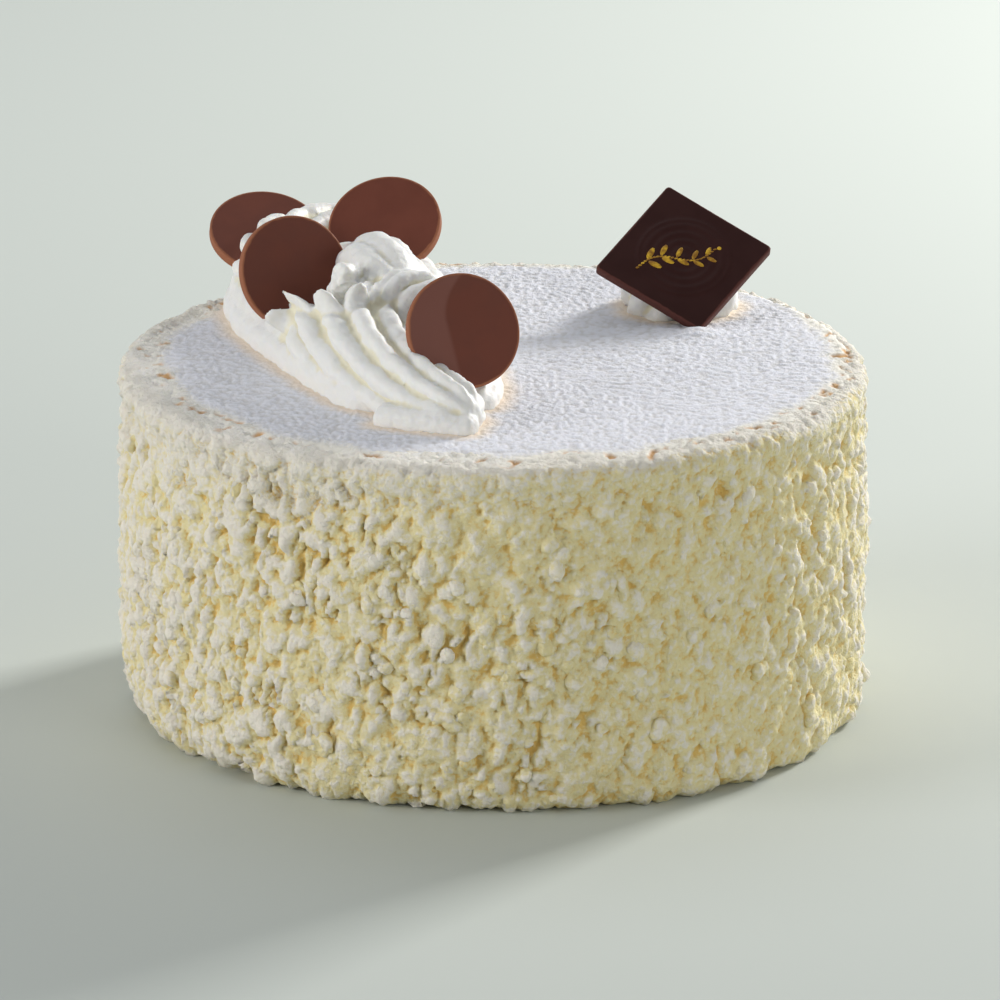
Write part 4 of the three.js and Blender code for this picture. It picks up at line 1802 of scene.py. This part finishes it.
@dataclass
class Piping:
    """Star-nozzle piping: turns strokes into one fused, softly ridged body."""

    steps: int = 120
    sides: int = 180
    voxel: float = 0.55
    base: float = 95.0
    sunk: float = 0.2
    lobe_power: float = 0.75
    tooth_power: float = 0.35
    tooth_rest: Pair = (0.5, 6.0)  # how much of a tooth goes, and from how far before the first ridge
    blunt: Pair = (0.8, 0.05)  # how soon a stroke's end is rounded, and what is left of it
    lip_width: float = 1.6
    neck: tuple[float, float, float] = (0.8, 4.8, 2.4)  # depth, place and width of the neck behind a lip
    throat: tuple[Pair, ...] = ((0.3, 1.0), (0.6, 0.7), (0.87, -0.25))  # width and depth of its rings
    relief: tuple[Layer, ...] = (
        Layer(Relief.WAVES, 6.5, 0.7),
        Layer(Relief.WAVES, 2.6, 0.24),
        Layer(Relief.WAVES, 1.3, 0.16),
    )
    crinkles: tuple[Layer, ...] = (Layer(Relief.WAVES, 2.4, 1.3), Layer(Relief.WAVES, 1.2, 0.4))
    crinkled: tuple[tuple[float, float, float, float], ...] = ()
    # How far a point stands out of the smoothed body sets its painted shade: grooves get the darker yellow.
    shade_tone_rounds: int = 60
    shade_tone_range: float = 1.3
    shade_tone_middle: float = 0.45

    def stroke_mesh(self, stroke: Stroke) -> tuple[np.ndarray, list[tuple[int, ...]]]:
        """Builds one stroke as a closed skin.

        Args:
            stroke: the stroke.

        Returns:
            Its points in millimetres and its faces.
        """
        knots = np.array(stroke.line, dtype=float)
        knots[:, 2] += self.base
        line = curve_points(knots, self.steps)
        middle = line[:, :3]
        tangent = np.gradient(middle, axis=0)
        tangent /= np.linalg.norm(tangent, axis=1, keepdims=True)
        side = np.cross(tangent, [0.0, 0.0, 1.0])
        side /= np.linalg.norm(side, axis=1, keepdims=True)
        frame = np.concatenate([line, side, np.cross(side, tangent)], axis=1)
        run = np.concatenate([[0.0], np.cumsum(np.linalg.norm(np.diff(middle, axis=0), axis=1))])
        angle = TURN * np.arange(self.sides) / self.sides
        lobe = np.abs(np.cos(stroke.ridges * angle / 2)) ** self.lobe_power
        place = angle + TURN * stroke.start
        slanted = stroke.slant * (1.0 + np.cos(place - math.radians(stroke.slant_at))) / 2
        teeth = 1.0 - self.tooth_rest[0] * np.clip((stroke.first - slanted) / self.tooth_rest[1], 0.0, 1.0)
        teeth = stroke.jut * teeth * (0.5 - lobe**self.tooth_power)
        mouth = np.maximum(slanted, stroke.first) + teeth
        early, left = self.blunt
        dip, dip_at, dip_width = self.neck
        rings = []
        for share in np.linspace(0.0, 1.0, self.steps):
            at = mouth + (run[-1] - mouth) * share
            here = np.stack([np.interp(at, run, column) for column in frame.T], axis=1)
            radius, run_share = here[:, 3], np.clip(at / run[-1], 0.0, 1.0)
            turned = place + TURN * stroke.twist * (1.0 - (1.0 - run_share) ** stroke.ease)
            near_end = np.maximum(0.0, 1.0 - (run[-1] - at) / radius / early)
            blunt = np.maximum(np.sqrt(np.maximum(0.0, 1.0 - near_end**2)), left)
            inward = at - mouth
            lip = np.exp(-((inward / self.lip_width) ** 2))
            lip = lip - dip * np.exp(-(((inward - dip_at) / dip_width) ** 2))
            reach = radius * (1.0 - stroke.groove * (1.0 - lobe)) * blunt * (1.0 + stroke.lip * lip * lobe)
            out = here[:, 4:7] * np.cos(turned)[:, None] + here[:, 7:] * np.sin(turned)[:, None]
            rings.append(here[:, :3] + out * reach[:, None])
        centre = rings[0].mean(axis=0)
        inward = rings[6].mean(axis=0) - centre
        inward *= stroke.hollow / np.linalg.norm(inward)
        throat = [centre + (rings[0] - centre) * wide + inward * depth for wide, depth in self.throat]
        points = np.concatenate([[centre + inward], *throat, *rings, [middle[-1]]])
        return points, skin_faces(self.steps + len(self.throat), self.sides)

    def fuse(self, name: str, strokes: Iterable[Stroke]) -> bpy.types.Object:
        """Fuses strokes into one body and flattens its foot.

        Args:
            name: the piece's name.
            strokes: the strokes.

        Returns:
            The piece, with its heights stored.
        """
        points, faces, count = [], [], 0
        for stroke in strokes:
            own_points, own_faces = self.stroke_mesh(stroke)
            points.append(own_points)
            faces += [tuple(index + count for index in face) for face in own_faces]
            count += len(own_points)
        piece = mesh_object(name, np.concatenate(points) * MM, faces)
        remesh(piece, self.voxel * MM)
        self.finish(piece)
        return piece

    def finish(self, piece: bpy.types.Object) -> None:
        """Softens a fused body, gives it the fine unevenness of whipped cream and stores how far each point
        stands out, which the finish paints as shade in the grooves.
        """
        soft = smoothed(piece.data, points_of(piece.data), 1)
        move_points(piece.data, soft)
        lift = relief(soft, self.relief)
        if self.crinkled:
            extra = relief(soft, self.crinkles)
            for x, y, z, reach in self.crinkled:
                away = np.linalg.norm(soft / MM - (x, y, z + self.base), axis=1) / reach
                lift = lift + extra * np.exp(-(away**4))
        move_points(piece.data, soft + normals_of(piece.data) * lift[:, None])
        cut_below(piece, Vector((0, 0, (self.base - self.sunk) * MM)), Vector((0, 0, 1)))
        # Painted shade: points in the grooves, lower than the smoothed body, get the darker yellow colour.
        here = points_of(piece.data)
        out = here - smoothed(piece.data, here, self.shade_tone_rounds)
        high = np.sum(out * normals_of(piece.data), axis=1) / (self.shade_tone_range * MM) + self.shade_tone_middle
        store(piece.data, "height", np.clip(high, 0.0, 1.0))


# ---------------------------------------------------------------- chocolate


@dataclass(frozen=True)
class Stand:
    """How a flat piece stands: its middle in millimetres and its turn, lean and spin in degrees."""

    at: tuple[float, float, float]
    turn: float
    lean: float
    spin: float = 0.0
    reflection_patch: float = -99.0  # left of this place, in millimetres from its middle, the face has a paler patch of painted reflection
    bare: float = -99.0  # left of this place no cream lies on the face

    def matrix(self) -> Matrix:
        """Gives the matrix that takes a piece whose face looks along +Z to its place, in metres."""
        return (
            Matrix.Translation(Vector(self.at) * MM)
            @ Matrix.Rotation(math.radians(self.turn), 4, "Z")
            @ Matrix.Rotation(math.radians(90 - self.lean), 4, "X")
            @ Matrix.Rotation(math.radians(self.spin), 4, "Z")
        )

    def axes(self) -> tuple[np.ndarray, np.ndarray]:
        """Gives the matrix's turn and its shift, in metres."""
        matrix = np.array(self.matrix())
        return matrix[:3, :3], matrix[:3, 3]


DISC_STANDS = {
    "disc_back_left": Stand((-61.7, 64, 112.7), 12, 61),
    "disc_back_right": Stand((-29.2, 52, 118.4), -13.3, 49.7),
    "disc_front_left": Stand((-53.4, 20, 114.3), 24, 22.8, bare=-3.6),
    # The front right disc has a painted reflection on the left of its face.
    "disc_front_right": Stand((-8, -38, 114.9), 19.4, 25, reflection_patch=-4.0),
}
PLAQUE_STAND = Stand((51.5, 46, 110.4), 3.9, 51.9, 51.5)


@dataclass
class Moulding:
    """A flat moulded piece: a face and a back inside an outline, with a rounded edge all round."""

    thickness: float
    rounding: float
    outline: Callable[[np.ndarray], np.ndarray]
    face_relief: Callable[[np.ndarray], np.ndarray]
    sides: int = 180
    face_rings: int = 36
    back_rings: int = 6
    # How far in from the rim the painted edge highlight reaches, in millimetres.
    lit_edge: float = 1.6
    reflection_patch_bend: Pair = (0.045, -0.12)  # how the painted reflection's edge bends away over and under its own middle
    reflection_patch_middle: float = 3.5
    reflection_patch_blur: float = 1.1

    def rings(self) -> list[tuple[float, float, float]]:
        """Lists the rings from the back's middle to the face's: inset, height and how near the edge it is."""
        half, arc = self.thickness / 2, self.rounding
        edge = []
        for turn in np.linspace(0.0, math.pi / 2, 5):
            edge.append((arc * (1 - math.sin(turn)), -half + arc * (1 - math.cos(turn))))
        edge += [(inset, -height) for inset, height in reversed(edge)]
        result = [(1.0 - step / (self.back_rings + 1), -half, 0.0) for step in range(1, self.back_rings + 1)]
        result += [(-inset, height, 1.0) for inset, height in edge]
        result += [(step / self.face_rings, half, 0.0) for step in range(1, self.face_rings)]
        return result

    def build(self, name: str, stand: Stand) -> bpy.types.Object:
        """Builds the piece in its place.

        Args:
            name: the piece's name.
            stand: how it stands.

        Returns:
            The piece, which stores how near each point is to the edge.
        """
        angle = TURN * np.arange(self.sides) / self.sides
        rim = self.outline(angle)
        out = np.column_stack([np.cos(angle), np.sin(angle)])
        half, none = self.thickness / 2, np.array([0.0])
        points, edge, reflection_patch = [np.array([[0.0, 0.0, -half]])], [none], [none]
        for share, height, near in self.rings():
            reach = rim + share if near else (rim - self.rounding) * (1.0 - share)
            ring = np.column_stack([out * reach[:, None], np.full(self.sides, height)])
            if not near and height > 0:
                ring[:, 2] += self.face_relief(ring[:, :2])
            points.append(ring)
            edge.append(np.clip(1.0 - (rim - reach) / self.lit_edge, 0.0, 1.0))
            # Painted reflection: a paler patch left of the stand's given place, with a bent, soft edge.
            above = ring[:, 1] - self.reflection_patch_middle
            bend = np.where(above > 0.0, self.reflection_patch_bend[0] * above**2, self.reflection_patch_bend[1] * above)
            left = np.clip((stand.reflection_patch + bend - ring[:, 0]) / self.reflection_patch_blur, 0.0, 1.0)
            reflection_patch.append(left * (height > 0))
        points.append(np.array([[0.0, 0.0, half + self.face_relief(np.zeros((1, 2)))[0]]]))
        turn, shift = stand.axes()
        place = np.concatenate(points) * MM @ turn.T + shift
        piece = mesh_object(name, place, skin_faces(len(self.rings()), self.sides))
        store(piece.data, "edge", np.concatenate([*edge, none]))
        store(piece.data, "reflection_patch", np.concatenate([*reflection_patch, none]))
        return piece


def disc_moulding(radius: float = 15.4, thickness: float = 2.8, hollow: float = 0.12) -> Moulding:
    """Gives the mould of a chocolate disc.

    Args:
        radius: its radius, in millimetres.
        thickness: its thickness, in millimetres.
        hollow: how deep its face is, in millimetres.

    Returns:
        The moulding, whose face is very slightly hollow.
    """

    def face(places: np.ndarray) -> np.ndarray:
        """Gives the face's height over its rim."""
        away = np.hypot(places[:, 0], places[:, 1]) / radius
        return -hollow * (1.0 - away**4)

    return Moulding(thickness, 0.45, lambda angle: np.full(len(angle), radius), face)


def plaque_moulding(side: float = 34.4, thickness: float = 3.0, corner: float = 0.9) -> Moulding:
    """Gives the mould of the square plaque.

    Args:
        side: the length of its sides, in millimetres.
        thickness: its thickness, in millimetres.
        corner: the radius of its corners, in millimetres.

    Returns:
        The moulding, whose face has a round field with faint ripples.
    """
    half = side / 2
    field_radius, field_blur, field_height, ripple, ripple_length = 12.8, 0.25, 0.16, 0.045, 2.6

    def outline(angle: np.ndarray) -> np.ndarray:
        """Gives the distance from the middle to the rounded square's edge."""
        across, along = np.abs(np.cos(angle)), np.abs(np.sin(angle))
        straight = half / np.maximum(across, along)
        inner = half - corner
        mean = inner * (across + along)
        rounded = mean + np.sqrt(np.maximum(0.0, mean**2 - 2 * inner**2 + corner**2))
        at_corner = np.minimum(straight * across, straight * along) > inner
        return np.where(at_corner, rounded, straight)

    def face(places: np.ndarray) -> np.ndarray:
        """Gives the face's height over its rim: a round field, raised a little, with rings in it."""
        away = np.hypot(places[:, 0], places[:, 1])
        inside = 1.0 / (1.0 + np.exp((away - field_radius) / field_blur))
        rings = ripple * np.cos(away * TURN / ripple_length) * (away < field_radius - 0.4)
        return inside * (field_height + rings)

    return Moulding(thickness, 0.6, outline, face, sides=240, face_rings=64)


def press_cream(piece: bpy.types.Object, stand: Stand, moulding: Moulding) -> None:
    """Presses cream back where it lies so near a flat piece's faces that it would only speckle them.

    Args:
        piece: the cream.
        stand: how the flat piece stands.
        moulding: the flat piece.
    """
    depth, reach, soft_edge, gap, slope = 1.7, 2.8, 2.0, 0.7, 2.4
    lowest, farthest = -13.4, 6.0  # cream below the disc's foot and cream far in front of it stays
    turn, shift = stand.axes()
    normal, half = turn[:, 2], moulding.thickness / 2
    points = points_of(piece.data)
    local = (points - shift) @ turn / MM
    rim = moulding.outline(np.arctan2(local[:, 1], local[:, 0]))
    within = np.clip((rim + 0.5 - np.hypot(local[:, 0], local[:, 1])) / soft_edge, 0.0, 1.0)
    for side in (1.0, -1.0):
        out = side * local[:, 2] - half
        share = np.clip(out / reach, 0.0, 1.0)
        pressed = depth * (1.0 - share) ** 2 * (1.0 + 2.0 * share) * within * (out > -1.0)
        points = points - normal * (side * pressed * MM)[:, None]
    x, y, z = ((points - shift) @ turn / MM).T
    allowed = half - gap + slope * (np.maximum(0.0, x - stand.bare) + np.maximum(0.0, lowest - y))
    over = np.maximum(0.0, z - allowed) * (within > 0.0) * (z < farthest)
    move_points(piece.data, points - normal * (over * MM)[:, None])


@dataclass
class GoldSprig:
    """A small printed sprig on the plaque: a bowed stem with pairs of leaves and a berry at its tip."""

    length: float = 22.0
    bow: float = 2.0
    leaf: tuple[float, float] = (4.4, 1.8)
    pairs: int = 5
    lift: float = 0.2
    turn: float = -37.0
    stem_drops: int = 25
    stem_from: float = 0.6  # share of the stem that lies left of the plaque's middle
    leaf_turn: float = math.radians(48)
    leaf_out: float = 0.62
    berry: float = 0.6
    thin: float = 0.09

    def build(self, stand: Stand, thickness: float) -> bpy.types.Object:
        """Builds the sprig on the plaque's face.

        Args:
            stand: how the plaque stands.
            thickness: the plaque's thickness, in millimetres.

        Returns:
            The sprig as one mesh.
        """
        work = bmesh.new()
        place = stand.matrix() @ Matrix.Rotation(math.radians(self.turn), 4, "Z")
        level = thickness / 2 + self.lift
        for share in np.linspace(0.0, 1.0, self.stem_drops):
            self._drop(work, place, (*self._stem(share), level), (0.55, 0.24 + 0.1 * (1 - share)), 0.0)
        for pair in range(self.pairs):
            share = (pair + 0.8) / (self.pairs + 0.6)
            x, y = self._stem(share)
            long, wide = (size * (1.0 - 0.35 * share) for size in self.leaf)
            for heading in (self.leaf_turn, -self.leaf_turn):
                out = long * self.leaf_out
                at = (x + math.cos(heading) * out, y + math.sin(heading) * out, level)
                self._drop(work, place, at, (long / 2, wide / 2), heading)
        tip = self.length * (1.0 - self.stem_from) + 1.3
        self._drop(work, place, (tip, 0.0, level), (self.berry, self.berry), 0.0)
        return object_from("gold_sprig", work)

    def _stem(self, share: float) -> Pair:
        """Gives a place on the bowed stem, in millimetres from the plaque's middle."""
        return (share - self.stem_from) * self.length, self.bow * math.sin(TURN * share)

    def _drop(
        self,
        work: bmesh.types.BMesh,
        place: Matrix,
        at: tuple[float, float, float],
        size: tuple[float, float],
        heading: float,
    ) -> None:
        """Lays one flat drop of gold: a stretched ball, thin across the face."""
        shape = (
            Matrix.Translation(Vector(at) * MM)
            @ Matrix.Rotation(heading, 4, "Z")
            @ Matrix.Diagonal((size[0] * MM, size[1] * MM, self.thin * MM, 1.0))
        )
        bmesh.ops.create_icosphere(work, subdivisions=2, radius=1.0, matrix=place @ shape)


@dataclass
class Rosette:
    """The small piped rosette that the plaque leans on."""

    at: tuple[float, float] = (50.8, 51.0)
    radius: float = 17.0
    height: float = 17.0
    ridges: int = 9
    base: float = 95.0
    sides: int = 216
    levels: tuple[float, float, int] = (-0.12, 0.985, 60)  # from, to and how many, as shares of the height
    groove: float = 0.2
    lobe_power: float = 0.7
    plump: tuple[float, float, float] = (2.4, 0.9, 0.4)
    twist: float = 0.16
    voxel: float = 0.5
    sink: float = 0.4  # how far the plaque is pressed in

    def build(self, stand: Stand, thickness: float) -> bpy.types.Object:
        """Builds the rosette, pressed flat where the plaque leans on it.

        Args:
            stand: how the plaque stands.
            thickness: the plaque's thickness, in millimetres.

        Returns:
            The rosette.
        """
        angle, levels = TURN * np.arange(self.sides) / self.sides, np.linspace(*self.levels)
        lobe = np.abs(np.cos(self.ridges * angle / 2)) ** self.lobe_power
        power, foot, belly = self.plump
        rings = []
        for level in levels:
            up = max(level, 0.0)
            plump = math.sqrt(1.0 - up**power) * (foot + belly * up * (1.0 - up))
            reach = self.radius * plump * (1.0 - self.groove * (1.0 - lobe))
            turned = angle + TURN * self.twist * level
            x, y = reach * np.cos(turned) + self.at[0], reach * np.sin(turned) + self.at[1]
            rings.append(np.column_stack([x, y, np.full(self.sides, self.base + self.height * level)]))
        bottom, top = ([[*self.at, self.base + self.height * share]] for share in (levels[0], 1.0))
        points = np.concatenate([bottom, *rings, top]) * MM
        piece = mesh_object("rosette", points, skin_faces(len(rings), self.sides))
        remesh(piece, self.voxel * MM)
        facing_out = stand.matrix().to_3x3() @ Vector((0, 0, 1))
        back = Vector(stand.at) * MM - facing_out * (thickness / 2 - self.sink) * MM
        cut_below(piece, back, -facing_out)
        Piping(base=self.base).finish(piece)
        return piece


# ---------------------------------------------------------------- the studio


@dataclass(frozen=True)
class Lamp:
    """A square soft light: degrees from +X towards +Y and over the floor, metres, watts and colour."""

    name: str
    azimuth: float
    elevation: float
    distance: float
    size: float
    power: float
    colour: Colour


@dataclass
class Studio:
    """The floor, the lights and the camera."""

    distance: float = 3.0
    elevation: float = math.radians(17.3)
    pixels_per_mm: float = 3.73
    cake_pixel: tuple[float, float] = (493.0, 533.0)
    frame_pixels: float = 1000.0
    sensor: float = 36.0
    floor_size: float = 12.0
    sky: Colour = (0.92, 0.96, 1.0)
    sky_strength: float = 0.3
    lamps: tuple[Lamp, ...] = (
        Lamp("key", 44, 22, 1.5, 0.3, 24.0, (1.0, 0.985, 0.96)),
        Lamp("fill", 198, 14, 1.6, 0.7, 13.9, (1.0, 0.975, 0.96)),
        Lamp("front", 308, 16, 1.9, 0.9, 8.2, (1.0, 0.975, 0.93)),
        Lamp("back", 110, 60, 1.7, 1.0, 4.3, (0.95, 0.97, 1.0)),
    )

    def build(self, middle: Vector) -> None:
        """Sets up the studio round the cake.

        Args:
            middle: the middle of the cake's body, in metres.
        """
        self._camera(middle)
        self._floor()
        self._sky()
        for lamp in self.lamps:
            self._hang(lamp, middle)

    def _camera(self, middle: Vector) -> None:
        """Puts the camera where the photograph was taken from."""
        camera = bpy.data.cameras.new("camera")
        camera.sensor_width = self.sensor
        camera.lens = self.pixels_per_mm * self.distance / MM * self.sensor / self.frame_pixels
        camera.shift_x = (self.frame_pixels / 2 - self.cake_pixel[0]) / self.frame_pixels
        camera.shift_y = (self.cake_pixel[1] - self.frame_pixels / 2) / self.frame_pixels
        camera.clip_end = 50.0
        holder = add_object("camera", camera)
        away = Vector((0, -math.cos(self.elevation), math.sin(self.elevation))) * self.distance
        holder.location = middle + away
        holder.rotation_euler = (math.pi / 2 - self.elevation, 0, 0)
        bpy.context.scene.camera = holder

    def _floor(self) -> None:
        """Lays the floor."""
        size = self.floor_size
        corners = np.array([[-size, -size, 0], [size, -size, 0], [size, size, 0], [-size, size, 0]])
        floor = mesh_object("floor", corners, [(0, 1, 2, 3)])
        floor.data.materials.append(FloorFinish().material())

    def _sky(self) -> None:
        """Fills the room with a soft even light."""
        world = bpy.data.worlds.new("studio")
        world.use_nodes = True
        sky = world.node_tree.nodes["Background"]
        sky.inputs["Color"].default_value = (*self.sky, 1.0)
        sky.inputs["Strength"].default_value = self.sky_strength
        bpy.context.scene.world = world
        bpy.context.scene.view_settings.view_transform = "Standard"

    def _hang(self, lamp: Lamp, middle: Vector) -> None:
        """Hangs a lamp that faces the cake.

        Args:
            lamp: the lamp.
            middle: the point that it faces, in metres.
        """
        light = bpy.data.lights.new(lamp.name, "AREA")
        light.size, light.energy, light.color = lamp.size, lamp.power, lamp.colour
        holder = add_object(lamp.name, light)
        azimuth, elevation = math.radians(lamp.azimuth), math.radians(lamp.elevation)
        flat = math.cos(elevation)
        out = Vector((flat * math.cos(azimuth), flat * math.sin(azimuth), math.sin(elevation)))
        holder.location = middle + out * lamp.distance
        holder.rotation_euler = out.to_track_quat("Z", "Y").to_euler()


# ---------------------------------------------------------------- putting it together


def place_piece(piece: bpy.types.Object, nodes: Sequence[str]) -> None:
    """Tells the frame what a piece belongs to and reports it.

    Args:
        piece: the piece.
        nodes: the nodes that it stands for.
    """
    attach(piece, "root")
    if nodes:
        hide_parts(*nodes)
    LOG.info("%s: %d points", piece.name, len(piece.data.vertices))


def main() -> None:
    """Builds every piece on the frame."""
    logging.basicConfig(level=logging.INFO, format="%(name)s: %(message)s")
    noise.seed_set(NOISE_SEED)
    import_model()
    low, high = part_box("cake_body")
    Studio().build(Vector((0, 0, (low[2] + high[2]) / 2)))
    groups = Groups()

    body = MeringueCake().build(groups)
    for piece in body:
        place_piece(piece, ["cake_body"])

    cream = CreamFinish().material(groups)
    mould = disc_moulding()
    rope = Piping(crinkled=ROPE_CRINKLES).fuse("rope", ROPE_STROKES.values())
    for stand in DISC_STANDS.values():
        press_cream(rope, stand, mould)
    plaque_mould = plaque_moulding()
    rosette = Rosette().build(PLAQUE_STAND, plaque_mould.thickness)
    for piece, node in ((rope, "cream_rope"), (rosette, "cream_rosette")):
        piece.data.materials.append(cream)
        place_piece(piece, [node])
    stain_top(body[-1], [rope, rosette], 6.0)

    milk = MILK_CHOCOLATE.material(groups)
    for name, stand in DISC_STANDS.items():
        disc = mould.build(f"{name}_moulded", stand)
        disc.data.materials.append(milk)
        place_piece(disc, [name])

    plaque = plaque_mould.build("plaque_moulded", PLAQUE_STAND)
    plaque.data.materials.append(DARK_CHOCOLATE.material(groups))
    place_piece(plaque, ["plaque"])
    sprig = GoldSprig().build(PLAQUE_STAND, plaque_mould.thickness)
    sprig.data.materials.append(GoldFinish().material(groups))
    place_piece(sprig, [])


if __name__ == "__main__":
    main()
